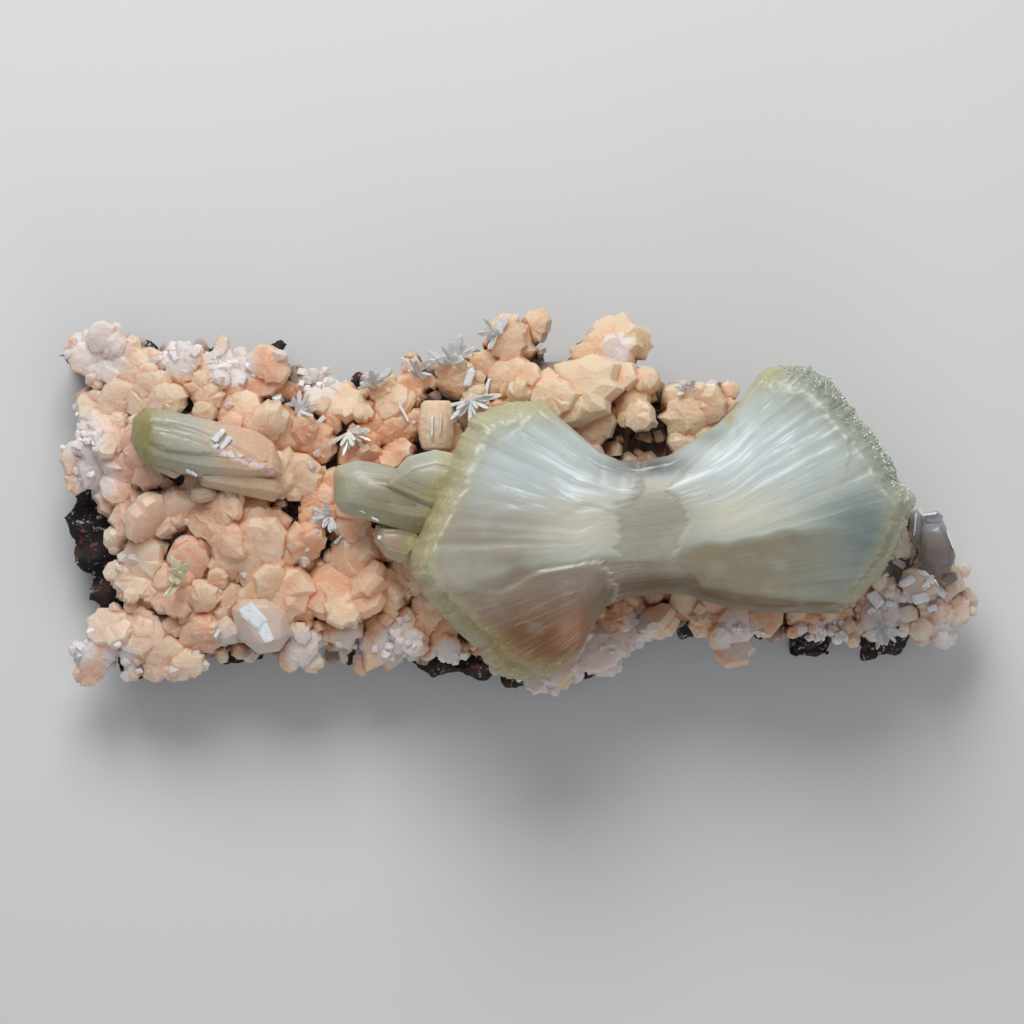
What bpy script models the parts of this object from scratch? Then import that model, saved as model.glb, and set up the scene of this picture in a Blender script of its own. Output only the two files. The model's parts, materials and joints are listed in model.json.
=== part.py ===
# A stilbite cluster: a double sheaf of stilbite on a crust of peach heulandite blocks, on dark basalt.
# It lies on the sawn back of its rock, with +Z up and its long side along X. The origin is on that sawn
# face. Lengths in the tables are millimetres, and MM turns them into metres.

import math
import random

import bmesh
import bpy
from mathutils import Matrix, Vector

MM = 0.001
GAP = 0.3
CUT_DEPTH = 4.0
CUT_HALF_SIZE = 90.0

# The rock under everything
ROCK_TOP = 7.0
ROCK_OUTLINE = [
    (-58.5, 20.5), (-53.5, 22.0), (-46.0, 20.0), (-38.0, 20.5), (-29.0, 17.0), (-18.0, 15.5),
    (-7.0, 19.0), (4.0, 21.5), (14.0, 20.0), (22.0, 13.0), (33.0, 12.0), (44.0, 4.0),
    (53.0, -3.5), (58.0, -12.5), (54.0, -17.0), (44.5, -18.5), (30.0, -16.5), (17.0, -16.0),
    (8.0, -22.5), (-4.0, -22.5), (-16.0, -21.5), (-30.0, -19.0), (-46.0, -21.0), (-55.0, -21.5),
    (-54.0, -14.0), (-56.5, -6.0), (-58.5, 4.0), (-55.5, 14.0),
]
ROCK_SLAB_INSET = 3.0
ROCK_LUMP_COUNT = 26
ROCK_LUMP_RADIUS = (3.4, 5.6)
ROCK_LUMP_HEIGHT = (0.2, 0.62)
ROCK_LUMP_PROUD = 0.8
ROCK_LUMP_CORNERS = 10

# The crust of blocky crystals on the rock
CRUST_FLOOR = ROCK_TOP + GAP + 0.2
CRUST_CORE_TOP = 10.6
CRUST_OUTLINE = [
    (-56.0, 21.5), (-52.5, 23.0), (-46.5, 19.5), (-39.0, 20.0), (-33.0, 17.5), (-25.0, 16.0),
    (-16.0, 16.5), (-8.0, 19.5), (-1.0, 22.0), (5.0, 20.5), (14.0, 20.5), (18.0, 15.5),
    (24.0, 13.5), (29.0, 14.0), (36.0, 9.0), (46.0, 3.5), (54.0, -1.5), (57.5, -9.0),
    (58.0, -15.0), (51.0, -17.0), (44.0, -17.5), (36.0, -15.0), (30.0, -17.5), (24.0, -13.5),
    (15.0, -17.5), (6.0, -22.5), (-3.0, -20.0), (-12.0, -19.5), (-20.0, -18.5), (-27.0, -20.0),
    (-36.0, -18.5), (-46.0, -21.0), (-55.5, -20.5), (-52.0, -15.0), (-50.5, -8.5), (-53.0, -1.0),
    (-56.5, 6.0), (-55.0, 13.0),
]
# Broad rises and hollows of the crust, each as x, y, radius and rise
CRUST_SWELLS = [
    (-38.0, 2.0, 20.0, 2.6), (10.0, 16.0, 10.0, 5.0), (-24.0, -8.0, 14.0, 2.2), (-44.0, 16.0, 10.0, 1.5),
    (19.0, -4.0, 12.0, -3.0), (52.0, -8.0, 7.0, 2.5), (24.0, 12.0, 6.0, 2.5), (-6.0, 12.0, 8.0, 1.5),
    (28.0, -15.0, 6.0, 1.5), (38.0, -4.0, 14.0, -1.5), (4.0, -6.0, 12.0, -1.5),
]
CRUST_MIDDLE = 12.6
CRUST_EDGE_DROP = 2.6
CRUST_HALF_LENGTH = 59.0
CRUST_HALF_WIDTH = 24.0

# The blocks that stand out by their place: x, y, length, width, thickness, turn and lean in degrees
BLOCKS = [
    (-53.5, 20.8, 6.5, 5.5, 4.2, 20, 60), (-49.4, 18.2, 8.5, 5.2, 4.0, -40, 75),
    (-51.5, 14.0, 6.5, 5.5, 4.5, 60, 50), (-46.5, 15.0, 6.5, 6.2, 5.0, 10, 40),
    (-43.0, 18.0, 5.0, 4.5, 3.5, 70, 55), (-40.2, 18.0, 5.5, 4.5, 3.6, -20, 50),
    (-39.5, 14.2, 5.0, 4.4, 3.6, 35, 35), (-34.5, 16.6, 8.0, 6.5, 5.0, 15, 62),
    (-35.6, 12.4, 7.5, 6.5, 5.0, -30, 48), (-31.0, 9.0, 9.5, 8.0, 5.5, 55, 55),
    (-28.4, 4.0, 8.0, 6.5, 5.0, 5, 60), (-52.2, 10.0, 9.0, 7.5, 5.5, -60, 52),
    (-54.6, 5.5, 7.0, 5.5, 4.5, 80, 65), (-49.0, 4.6, 8.5, 7.0, 5.0, 25, 45),
    (-51.0, -1.6, 10.0, 7.5, 5.6, -15, 58), (-44.6, -0.8, 8.0, 6.8, 5.0, 40, 42),
    (-49.6, -7.0, 8.0, 6.4, 4.8, 75, 60), (-51.2, -10.2, 6.0, 5.0, 4.2, 0, 65),
    (-45.2, -11.4, 7.5, 6.0, 4.8, -35, 50), (-42.2, -7.0, 6.4, 5.6, 4.6, 62, 44),
    (-39.4, -2.0, 6.6, 5.6, 4.4, 12, 35), (-35.0, -1.4, 9.5, 6.8, 5.0, -25, 64),
    (-35.6, -6.0, 10.0, 8.0, 5.8, 48, 48), (-32.2, -8.6, 8.0, 6.6, 5.0, 85, 55),
    (-29.2, -11.8, 9.5, 7.4, 5.2, 30, 60), (-22.8, -11.0, 11.0, 8.6, 5.8, 8, 50),
    (-20.6, -7.2, 7.0, 5.6, 4.6, -55, 42), (-27.0, -4.6, 6.5, 5.4, 4.2, 65, 38),
    (-22.0, -15.2, 8.0, 6.6, 5.0, 90, 62), (-16.2, -12.4, 5.0, 4.6, 4.4, 15, 25),
    (-14.2, -15.6, 5.2, 4.6, 4.0, -10, 30), (-17.6, -17.8, 8.5, 4.6, 3.8, 80, 74),
    (-40.4, -16.8, 7.5, 6.0, 4.8, 20, 58), (-49.2, -16.8, 9.0, 7.0, 5.2, -20, 55),
    (-54.4, -19.6, 6.4, 4.6, 3.8, 50, 70), (-45.4, -19.4, 6.2, 5.2, 4.2, 0, 62),
    (-9.8, 10.4, 6.6, 5.6, 4.6, 90, 20), (-15.4, 13.4, 6.2, 5.2, 4.2, 30, 45),
    (-22.2, 13.2, 7.0, 5.6, 4.4, -15, 55), (-25.8, 8.6, 6.0, 5.0, 4.2, 45, 40),
    (-20.0, 6.4, 6.4, 5.4, 4.4, 75, 48), (-14.6, 7.0, 5.0, 4.2, 3.6, 10, 38),
    (0.6, 20.4, 7.5, 5.6, 4.4, 70, 60), (0.2, 16.6, 7.4, 6.4, 4.8, 20, 45),
    (5.0, 15.2, 6.0, 5.0, 4.4, -30, 40), (9.6, 15.0, 12.0, 9.5, 6.0, 25, 52),
    (13.2, 19.4, 7.0, 6.4, 4.8, 80, 48), (15.6, 14.2, 6.4, 5.2, 4.4, -10, 58),
    (11.4, 10.4, 6.5, 5.0, 4.0, 50, 50), (23.4, 11.8, 7.4, 6.2, 4.6, 15, 50),
    (27.6, 13.4, 5.0, 4.4, 3.6, -45, 50), (50.0, -7.6, 5.6, 4.6, 3.8, 85, 40),
    (51.2, -13.6, 6.4, 5.2, 4.4, 30, 50), (54.8, -14.2, 7.6, 5.8, 4.4, 70, 62),
    (58.4, -13.6, 4.2, 3.4, 2.8, -20, 60), (46.4, -17.2, 5.0, 4.2, 3.4, 0, 62),
    (12.2, -18.8, 8.0, 6.0, 4.4, 35, 66), (6.4, -21.8, 5.0, 4.2, 3.4, 60, 60),
    (29.6, -16.6, 7.6, 5.8, 4.2, 50, 64), (19.5, -15.6, 6.0, 4.8, 4.0, 10, 60),
]
BLOCK_SUNK = 0.2
BLOCK_ENDS = ((-0.5, 0.26), (-0.2, 0.5), (0.2, 0.5), (0.5, 0.26))
# The blocks between them, which are placed by chance
FILLER_COUNT = 34
FILLER_SPACING = (3.5, 5.6)
FILLER_LENGTH = (4.2, 6.4)
FILLER_WIDTH = 0.85
FILLER_THICKNESS = 0.68
FILLER_LEAN = (20, 75)
FILLER_SUNK = 0.3

# The double sheaf: each fan spreads from a centre beyond the waist, and both share the waist
WAIST = Vector((18.8, -3.4, 24.0))
WAIST_HALF_LENGTH = 7.5
WAIST_HALF_WIDTH = 8.4
WAIST_HALF_DEPTH = 5.4
WAIST_CORNERS = 10
FAN_ROOT = 6.0
RIM_HALF_DEPTH = 10.2
RIM_ROUNDING = 5.0
ROOF_DROP = 0.62
ROOF_CURVE = 1.5
# Each fan's centre, its side of the waist, the angle of its ridge, and its reach by angle, in degrees
FANS = {
    "left": {
        "centre": (26.0, -3.5),
        "side": -1,
        "ridge": -6,
        "reach": [(-43, 24.0), (-38, 29.5), (-31, 34.0), (-20, 36.0), (-9, 38.2), (0, 38.8), (8, 36.4),
                  (15, 35.0), (24, 33.0), (32, 30.6), (38, 26.0)],
    },
    "right": {
        "centre": (12.0, -3.5),
        "side": 1,
        "ridge": -8,
        "reach": [(-34, 16.0), (-27, 24.0), (-19, 32.0), (-10, 37.0), (0, 39.2), (5, 40.2), (12, 38.8),
                  (21, 37.2), (30, 35.6), (38, 34.4), (44, 29.0)],
    },
}
FAN_BLADES = 8
FAN_LAYERS = (-0.62, 0.0, 0.62)
BLADE_OVERLAP = 1.45
BLADE_DEPTH = 0.84
BLADE_TIP = (2.2, 3.4)
BLADE_UNEVEN = 0.06
CHISEL = 0.22

# Tabular crystals: tip end, other end, width, thickness and roll in degrees
SIDE_TABLETS = [
    ((-23.0, 3.0, 22.4), (-4.0, -1.0, 24.0), 6.2, 4.6, 12),
    ((-20.4, -1.6, 21.4), (-3.0, -2.4, 23.0), 6.4, 4.2, -14),
    ((-12.6, 5.2, 21.6), (-2.0, 2.4, 23.4), 6.4, 4.6, 4),
]
FREE_TABLETS = [
    ((-49.4, 9.6, 19.2), (-31.4, 3.6, 18.0), 7.2, 4.4, 10),
    ((-46.0, 6.2, 17.6), (-30.2, 1.6, 17.4), 6.4, 3.8, -12),
    ((-41.0, 8.4, 18.6), (-29.6, 4.4, 18.8), 4.6, 3.6, 24),
]
GLASSY_PLATE = [
    ((54.4, 0.2, 15.6), (55.4, -11.4, 14.2), 6.0, 3.2, 18),
    ((56.8, -1.6, 14.8), (56.4, -10.4, 14.0), 4.4, 2.6, -16),
]
WHITE_BLOCK = [
    ((-36.6, -16.6, 15.4), (-28.6, -16.2, 15.4), 7.0, 4.6, 14),
    ((-33.2, -12.6, 16.8), (-30.8, -17.4, 16.4), 3.4, 3.0, 10),
]
# The shape of a tablet: how far along it each section lies, and its share of the width and thickness
TABLET_SECTIONS = ((0.0, 0.42, 0.72), (0.28, 1.0, 1.0), (0.72, 1.0, 1.0), (1.0, 0.42, 0.72))
TABLET_GROUPS = {
    "stilbite_tablet": (FREE_TABLETS, "stilbite"),
    "glassy_plate": (GLASSY_PLATE, "clear_stilbite"),
    "white_block": (WHITE_BLOCK, "clear_stilbite"),
}
SPECK = 0.12
SPECK_CORNERS = [(1, 1, 1), (1, -1, -1), (-1, 1, -1), (-1, -1, 1)]

# Sprays of small clear blades: name, root x, y, z, blade length, width, how many, lean outwards, heading
SPRAYS = [
    ("spray_top_left", -18.0, 15.8, 13.2, 3.6, 1.3, 5, 55, 95),
    ("spray_top_small", -12.2, 17.4, 13.2, 3.2, 1.2, 5, 55, 80),
    ("spray_top_tall", -7.4, 18.6, 14.2, 4.6, 1.6, 6, 50, 100),
    ("spray_top_right", -1.6, 22.4, 14.2, 3.6, 1.4, 5, 55, 125),
    ("spray_white_bundle", -5.2, 13.8, 14.6, 5.4, 1.7, 6, 40, 280),
    ("spray_rosette", -21.0, 9.6, 15.4, 3.6, 1.3, 6, 60, 300),
    ("spray_upper_rosette", -27.8, 12.4, 15.2, 3.6, 1.4, 6, 60, 20),
    ("spray_centre", -23.6, -1.4, 15.4, 3.6, 1.4, 5, 60, 200),
    ("spray_yellow", -43.0, -9.6, 16.4, 4.2, 1.8, 5, 60, 150),
    ("spray_blue", 23.4, 14.8, 15.6, 2.8, 1.0, 5, 45, 90),
    ("spray_lower_right", 48.2, -17.0, 13.6, 4.2, 1.5, 6, 60, 280),
    ("spray_far_right", 54.6, -10.4, 17.2, 3.2, 1.5, 5, 65, 230),
]
SPRAY_FAN = 230
SPRAY_UNEVEN = 14
SPRAY_LEANING = (0.35, 1.0)
SPRAY_LENGTHS = (0.75, 1.1)
SPRAY_WIDTHS = (0.85, 1.15)
SPRAY_THICKNESS = 0.55
SPRAY_ROOT = 0.4
SPRAY_TIP = 0.28
SPRAY_KNOT = 0.5
SPRAY_SUNK = 0.5

COLOURS = {
    "basalt": ((0.030, 0.022, 0.020, 1.0), 0.9),
    "heulandite": ((0.82, 0.50, 0.34, 1.0), 0.45),
    "stilbite": ((0.70, 0.72, 0.60, 1.0), 0.3),
    "clear_stilbite": ((0.80, 0.84, 0.86, 1.0), 0.1),
}


def clear_scene():
    for obj in list(bpy.data.objects):
        bpy.data.objects.remove(obj)


def material(name):
    colour, roughness = COLOURS[name]
    made = bpy.data.materials.new(name)
    made.use_nodes = True
    shader = made.node_tree.nodes["Principled BSDF"]
    shader.inputs["Base Color"].default_value = colour
    shader.inputs["Roughness"].default_value = roughness
    made.diffuse_color = colour
    return made


def shell_object(name, shell, collection):
    mesh = bpy.data.meshes.new(name)
    shell.to_mesh(mesh)
    shell.free()
    obj = bpy.data.objects.new(name, mesh)
    collection.objects.link(obj)
    return obj


def add_hull(shells, points):
    # One closed convex shell through the outermost of these points, which are in millimetres
    shell = bmesh.new()
    corners = [shell.verts.new(Vector(p) * MM) for p in points]
    found = bmesh.ops.convex_hull(shell, input=corners)
    bmesh.ops.delete(shell, geom=found["geom_interior"], context="VERTS")
    return shell_object("shell", shell, shells)


def add_prism(shells, outline, low, high):
    shell = bmesh.new()
    bottom = [shell.verts.new(Vector((x, y, low)) * MM) for x, y in outline]
    top = [shell.verts.new(Vector((x, y, high)) * MM) for x, y in outline]
    shell.faces.new(bottom[::-1])
    shell.faces.new(top)
    for i, corner in enumerate(bottom):
        after = (i + 1) % len(bottom)
        shell.faces.new((corner, bottom[after], top[after], top[i]))
    bmesh.ops.recalc_face_normals(shell, faces=shell.faces)
    return shell_object("shell", shell, shells)


def combine(obj, fill, operation):
    # Joins to obj, or cuts from it, every closed shell that fill() makes. It is worked out at once, so that
    # the next step starts from a plain mesh.
    shells = bpy.data.collections.new("shells")
    bpy.context.scene.collection.children.link(shells)
    fill(shells)
    step = obj.modifiers.new(operation.lower(), "BOOLEAN")
    step.operation = operation
    step.operand_type = "COLLECTION"
    step.collection = shells
    graph = bpy.context.evaluated_depsgraph_get()
    obj.data = bpy.data.meshes.new_from_object(obj.evaluated_get(graph))
    obj.modifiers.clear()
    for shell in list(shells.objects):
        bpy.data.objects.remove(shell)
    bpy.data.collections.remove(shells)


def keep_outer_skin(obj):
    # Blades that meet can shut off small pockets, so every shell but the largest goes
    shells = bmesh.new()
    shells.from_mesh(obj.data)
    left = set(shells.verts)
    islands = []
    while left:
        reached = [left.pop()]
        island = set(reached)
        while reached:
            for edge in reached.pop().link_edges:
                for corner in edge.verts:
                    if corner in left:
                        left.remove(corner)
                        island.add(corner)
                        reached.append(corner)
        islands.append(island)
    islands.sort(key=len)
    for island in islands[:-1]:
        bmesh.ops.delete(shells, geom=list(island), context="VERTS")
    shells.to_mesh(obj.data)
    shells.free()


def inside(outline, x, y):
    crossings = False
    for (ax, ay), (bx, by) in zip(outline, outline[1:] + outline[:1]):
        if (ay > y) != (by > y) and x < (bx - ax) * (y - ay) / (by - ay) + ax:
            crossings = not crossings
    return crossings


def crust_height(x, y):
    # Height of the crust's general surface above the sawn face
    edge = max(abs(x) / CRUST_HALF_LENGTH, abs(y) / CRUST_HALF_WIDTH)
    height = CRUST_MIDDLE - CRUST_EDGE_DROP * edge**4
    for sx, sy, radius, rise in CRUST_SWELLS:
        away = ((x - sx) ** 2 + (y - sy) ** 2) / radius**2
        height += rise * math.exp(-2 * away)
    return height


def block_frame(x, y, z, turn, lean):
    heading = Matrix.Rotation(math.radians(turn), 4, "Z")
    tilted = Matrix.Rotation(math.radians(lean), 4, "Y")
    return Matrix.Translation((x, y, z)) @ heading @ tilted


def add_block(shells, frame, length, width, thickness):
    # A coffin-shaped crystal: flat sides, with its ends drawn in
    corners = []
    for along, across in BLOCK_ENDS:
        for side in (-1, 1):
            for face in (-0.5, 0.5):
                point = Vector((side * across * width, face * thickness, along * length))
                corners.append(frame @ point)
    add_hull(shells, corners)


def block_places():
    places = []
    for x, y, length, width, thickness, turn, lean in BLOCKS:
        z = crust_height(x, y) - BLOCK_SUNK * length
        places.append((x, y, z, length, width, thickness, turn, lean))
    draw = random.Random(11)
    taken = [(place[0], place[1]) for place in places]
    filled = 0
    while filled < FILLER_COUNT:
        x = draw.uniform(-CRUST_HALF_LENGTH, CRUST_HALF_LENGTH)
        y = draw.uniform(-CRUST_HALF_WIDTH, CRUST_HALF_WIDTH)
        spacing = draw.uniform(*FILLER_SPACING)
        length = draw.uniform(*FILLER_LENGTH)
        turn = draw.uniform(0, 180)
        lean = draw.uniform(*FILLER_LEAN)
        crowded = any((x - tx) ** 2 + (y - ty) ** 2 < spacing**2 for tx, ty in taken)
        if crowded or not inside(CRUST_OUTLINE, x, y):
            continue
        taken.append((x, y))
        filled += 1
        z = crust_height(x, y) - FILLER_SUNK * length
        places.append((x, y, z, length, FILLER_WIDTH * length, FILLER_THICKNESS * length, turn, lean))
    return places


def add_rock(shells, extra):
    # The slab and the angular lumps round its edge; extra makes every lump and side larger
    slab = []
    for corner in map(Vector, ROCK_OUTLINE):
        slab.append(corner - corner.normalized() * (ROCK_SLAB_INSET - extra))
    add_prism(shells, slab, -CUT_DEPTH / 2, ROCK_TOP + extra)
    draw = random.Random(5)
    for i in range(ROCK_LUMP_COUNT):
        along = i * len(ROCK_OUTLINE) / ROCK_LUMP_COUNT
        start = Vector(ROCK_OUTLINE[int(along)])
        end = Vector(ROCK_OUTLINE[(int(along) + 1) % len(ROCK_OUTLINE)])
        spot = start.lerp(end, along - int(along))
        radius = draw.uniform(*ROCK_LUMP_RADIUS)
        spot -= spot.normalized() * (radius - ROCK_LUMP_PROUD)
        height = draw.uniform(*ROCK_LUMP_HEIGHT) * ROCK_TOP
        corners = []
        for _ in range(ROCK_LUMP_CORNERS):
            way = Vector((draw.uniform(-1, 1), draw.uniform(-1, 1), draw.uniform(-0.9, 0.9))).normalized()
            corners.append(Vector((*spot, height)) + way * (radius + extra))
        add_hull(shells, corners)


def fan_reach(fan, angle):
    table = FANS[fan]["reach"]
    angle = min(max(angle, table[0][0]), table[-1][0])
    for (a0, r0), (a1, r1) in zip(table, table[1:]):
        if angle <= a1:
            return r0 + (r1 - r0) * (angle - a0) / (a1 - a0)
    return table[-1][1]


def fan_roof(fan, angle):
    # The fan's depth at an angle, as a share of its depth on the ridge
    low, high = fan_limits(fan)
    ridge = FANS[fan]["ridge"]
    away = (angle - ridge) / (high - ridge) if angle > ridge else (ridge - angle) / (ridge - low)
    return 1.0 - ROOF_DROP * away**ROOF_CURVE


def fan_limits(fan):
    table = FANS[fan]["reach"]
    return table[0][0], table[-1][0]


def fan_point(fan, angle, level, share):
    # A point inside a fan: angle in degrees, level from -1 under to 1 over, share from root 0 to rim 1
    spec = FANS[fan]
    reach = fan_reach(fan, angle) - RIM_ROUNDING * level * level
    distance = FAN_ROOT + (reach - FAN_ROOT) * share
    depth = (WAIST_HALF_DEPTH + (RIM_HALF_DEPTH - WAIST_HALF_DEPTH) * share) * fan_roof(fan, angle)
    turn = math.radians(angle)
    return Vector((
        spec["centre"][0] + spec["side"] * distance * math.cos(turn),
        spec["centre"][1] + distance * math.sin(turn),
        WAIST.z + depth * level,
    ))


def blade_corners(root, shoulder, tip, across, up, root_size, shoulder_size, extra):
    # A blade that widens from its root to its shoulders and ends in a chisel tip
    corners = []
    for point, (wide, deep) in ((root, root_size), (shoulder, shoulder_size)):
        for side in (-0.5, 0.5):
            for face in (-0.5, 0.5):
                corners.append(point + across * side * (wide + 2 * extra) + up * face * (deep + 2 * extra))
    along = (tip - shoulder).normalized()
    for face in (-CHISEL, CHISEL):
        corners.append(tip + along * extra + up * face * (shoulder_size[1] + 2 * extra))
    return corners


def waist_corners(extra):
    corners = []
    for end in (-1, 1):
        for i in range(WAIST_CORNERS):
            turn = 2 * math.pi * i / WAIST_CORNERS
            corners.append(WAIST + Vector((
                end * WAIST_HALF_LENGTH,
                (WAIST_HALF_WIDTH + extra) * math.cos(turn),
                (WAIST_HALF_DEPTH + extra) * math.sin(turn),
            )))
    return corners


def fan_blades(fan, extra):
    # The corners of each blade of a fan, as one list for each
    draw = random.Random(fan)
    low, high = fan_limits(fan)
    step = (high - low) / FAN_BLADES
    blades = []
    for level in FAN_LAYERS:
        for i in range(FAN_BLADES):
            angle = low + step * (i + 0.5)
            root = fan_point(fan, angle, level, 0.0)
            tip = fan_point(fan, angle, level, 1.0 - draw.uniform(0.0, BLADE_UNEVEN))
            along = (tip - root).normalized()
            ends = [fan_point(fan, angle + half, level, 1.0) for half in (-step / 2, step / 2)]
            beside = ends[1] - ends[0]
            up = along.cross(beside).normalized() * FANS[fan]["side"]
            across = up.cross(along)
            shoulder = tip - along * draw.uniform(*BLADE_TIP)
            spread = BLADE_OVERLAP * math.radians(step)
            wide = spread * ((shoulder - root).length + FAN_ROOT)
            deep = BLADE_DEPTH * RIM_HALF_DEPTH * fan_roof(fan, angle)
            root_size = (spread * FAN_ROOT + 1.0, BLADE_DEPTH * WAIST_HALF_DEPTH)
            blades.append(blade_corners(root, shoulder, tip, across, up, root_size, (wide, deep), extra))
    return blades


def add_bow_tie(shells):
    add_hull(shells, waist_corners(0.0))
    for fan in FANS:
        for corners in fan_blades(fan, 0.0):
            add_hull(shells, corners)
    add_tablets(shells, SIDE_TABLETS)


def add_tablet(shells, tip, end, width, thickness, roll, extra):
    # A tabular crystal with a bevelled point at both ends
    tip, end = Vector(tip), Vector(end)
    along = (end - tip).normalized()
    flat = Vector((-along.y, along.x, 0.0)).normalized()
    turn = Matrix.Rotation(math.radians(roll), 3, along)
    across, up = turn @ flat, turn @ along.cross(flat)
    length = (end - tip).length
    corners = []
    for share, wide, deep in TABLET_SECTIONS:
        for side in (-0.5, 0.5):
            for face in (-0.5, 0.5):
                point = tip + along * (share * (length + 2 * extra) - extra)
                point += across * side * (width * wide + 2 * extra)
                point += up * face * (thickness * deep + 2 * extra)
                corners.append(point)
    add_hull(shells, corners)


def spray_blades(spray, extra):
    # The corners of each blade of a spray, as one list for each
    name, x, y, z, length, width, count, lean, heading = spray
    start = Vector((x, y, z))
    draw = random.Random(name)
    blades = []
    for i in range(count):
        fanned = (i / (count - 1) - 0.5) * SPRAY_FAN
        turn = math.radians(heading + fanned + draw.uniform(-SPRAY_UNEVEN, SPRAY_UNEVEN))
        tilt = math.radians(lean * draw.uniform(*SPRAY_LEANING))
        along = Vector((math.cos(turn) * math.sin(tilt), math.sin(turn) * math.sin(tilt), math.cos(tilt)))
        across = Matrix.Rotation(draw.uniform(0, math.pi), 3, along) @ along.orthogonal().normalized()
        up = along.cross(across)
        reach = length * draw.uniform(*SPRAY_LENGTHS)
        wide = width * draw.uniform(*SPRAY_WIDTHS)
        root_size = (SPRAY_ROOT * wide, SPRAY_ROOT * wide)
        shoulder = start + along * reach * (1 - SPRAY_TIP)
        tip = start + along * reach
        flat_size = (wide, SPRAY_THICKNESS * wide)
        blades.append(blade_corners(start, shoulder, tip, across, up, root_size, flat_size, extra))
    return blades


def spray_heart(spray):
    return Vector(spray[1:4]) - Vector((0, 0, SPRAY_SUNK))


def spray_root(spray, extra):
    # The knot that the blades of a spray grow from
    heart = spray_heart(spray)
    return [heart + Vector(way) * (SPRAY_KNOT * spray[5] + extra) for way in SPECK_CORNERS]


def add_spray(shells, spray):
    add_hull(shells, spray_root(spray, 0.0))
    for corners in spray_blades(spray, 0.0):
        add_hull(shells, corners)


def whole(name, heart, fill):
    # Fuses the overlapping shells that fill() makes into one solid, grown from a speck at its heart
    corners = [Vector(heart) + Vector(way) * SPECK for way in SPECK_CORNERS]
    obj = add_hull(bpy.context.scene.collection, corners)
    obj.name = name
    combine(obj, fill, "UNION")
    return obj


def cut(obj, fill):
    combine(obj, fill, "DIFFERENCE")


def finish(obj, look):
    keep_outer_skin(obj)
    obj.data.materials.clear()
    obj.data.materials.append(look)


def add_tablets(shells, tablets, extra=0.0):
    for tablet in tablets:
        add_tablet(shells, *tablet, extra)


def add_crust(shells):
    add_prism(shells, CRUST_OUTLINE, CRUST_FLOOR, CRUST_CORE_TOP)
    for x, y, z, length, width, thickness, turn, lean in block_places():
        add_block(shells, block_frame(x, y, z, turn, lean), length, width, thickness)


def add_sockets(shells):
    # Room in the crust for everything that it holds
    add_rock(shells, GAP)
    for fan in FANS:
        add_hull(shells, [corner for blade in fan_blades(fan, GAP) for corner in blade])
    add_hull(shells, waist_corners(GAP))
    add_tablets(shells, SIDE_TABLETS, GAP)
    for tablets, _ in TABLET_GROUPS.values():
        add_tablets(shells, tablets, GAP)
    for spray in SPRAYS:
        blades = [corner for blade in spray_blades(spray, GAP) for corner in blade]
        add_hull(shells, spray_root(spray, 3 * GAP) + blades)


def middle(tablet):
    return (Vector(tablet[0]) + Vector(tablet[1])) / 2


def main():
    clear_scene()
    looks = {name: material(name) for name in COLOURS}
    far = CUT_HALF_SIZE
    ground = [(-far, -far), (far, -far), (far, far), (-far, far)]

    rock = whole("basalt_matrix", (0, 0, 3), lambda shells: add_rock(shells, 0.0))
    cut(rock, lambda shells: add_prism(shells, ground, -CUT_DEPTH, 0.0))
    finish(rock, looks["basalt"])

    crust = whole("heulandite_crust", (0, 0, 9), add_crust)
    cut(crust, add_sockets)
    finish(crust, looks["heulandite"])

    sheaf = whole("stilbite_bow_tie", WAIST, add_bow_tie)
    finish(sheaf, looks["stilbite"])
    for name, (tablets, look) in TABLET_GROUPS.items():
        made = whole(name, middle(tablets[0]), lambda shells, group=tablets: add_tablets(shells, group))
        finish(made, looks[look])
    for spray in SPRAYS:
        made = whole(spray[0], spray_heart(spray), lambda shells, spray=spray: add_spray(shells, spray))
        finish(made, looks["clear_stilbite"])


main()
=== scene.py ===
# A stilbite cluster: a double sheaf of pale green stilbite on a crust of peach heulandite, on dark basalt.
# Lengths in the dictionaries are millimetres, and mm turns them into the frame's metres.

import json
import math
import random

import bmesh
import bpy
import numpy as np
from mathutils import Matrix, Vector, noise
from mathutils.kdtree import KDTree

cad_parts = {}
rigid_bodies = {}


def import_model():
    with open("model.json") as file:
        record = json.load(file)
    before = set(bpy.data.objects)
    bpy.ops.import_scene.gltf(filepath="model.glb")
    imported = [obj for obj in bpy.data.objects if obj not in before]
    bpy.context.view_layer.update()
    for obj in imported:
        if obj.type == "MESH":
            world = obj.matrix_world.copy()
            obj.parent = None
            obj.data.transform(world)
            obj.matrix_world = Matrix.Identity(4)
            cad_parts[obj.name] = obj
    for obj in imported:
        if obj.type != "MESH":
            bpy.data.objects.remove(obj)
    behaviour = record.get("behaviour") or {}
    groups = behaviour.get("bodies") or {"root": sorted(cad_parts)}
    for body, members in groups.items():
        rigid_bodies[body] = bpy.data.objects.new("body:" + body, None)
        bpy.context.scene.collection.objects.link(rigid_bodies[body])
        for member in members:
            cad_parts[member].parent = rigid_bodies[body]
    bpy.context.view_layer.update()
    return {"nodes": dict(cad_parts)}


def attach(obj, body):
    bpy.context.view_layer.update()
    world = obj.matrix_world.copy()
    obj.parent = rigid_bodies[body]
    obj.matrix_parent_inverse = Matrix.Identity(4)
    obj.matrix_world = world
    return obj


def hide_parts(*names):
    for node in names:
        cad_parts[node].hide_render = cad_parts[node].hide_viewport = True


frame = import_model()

mm = 0.001


# Materials: shader maths written as Python

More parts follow.
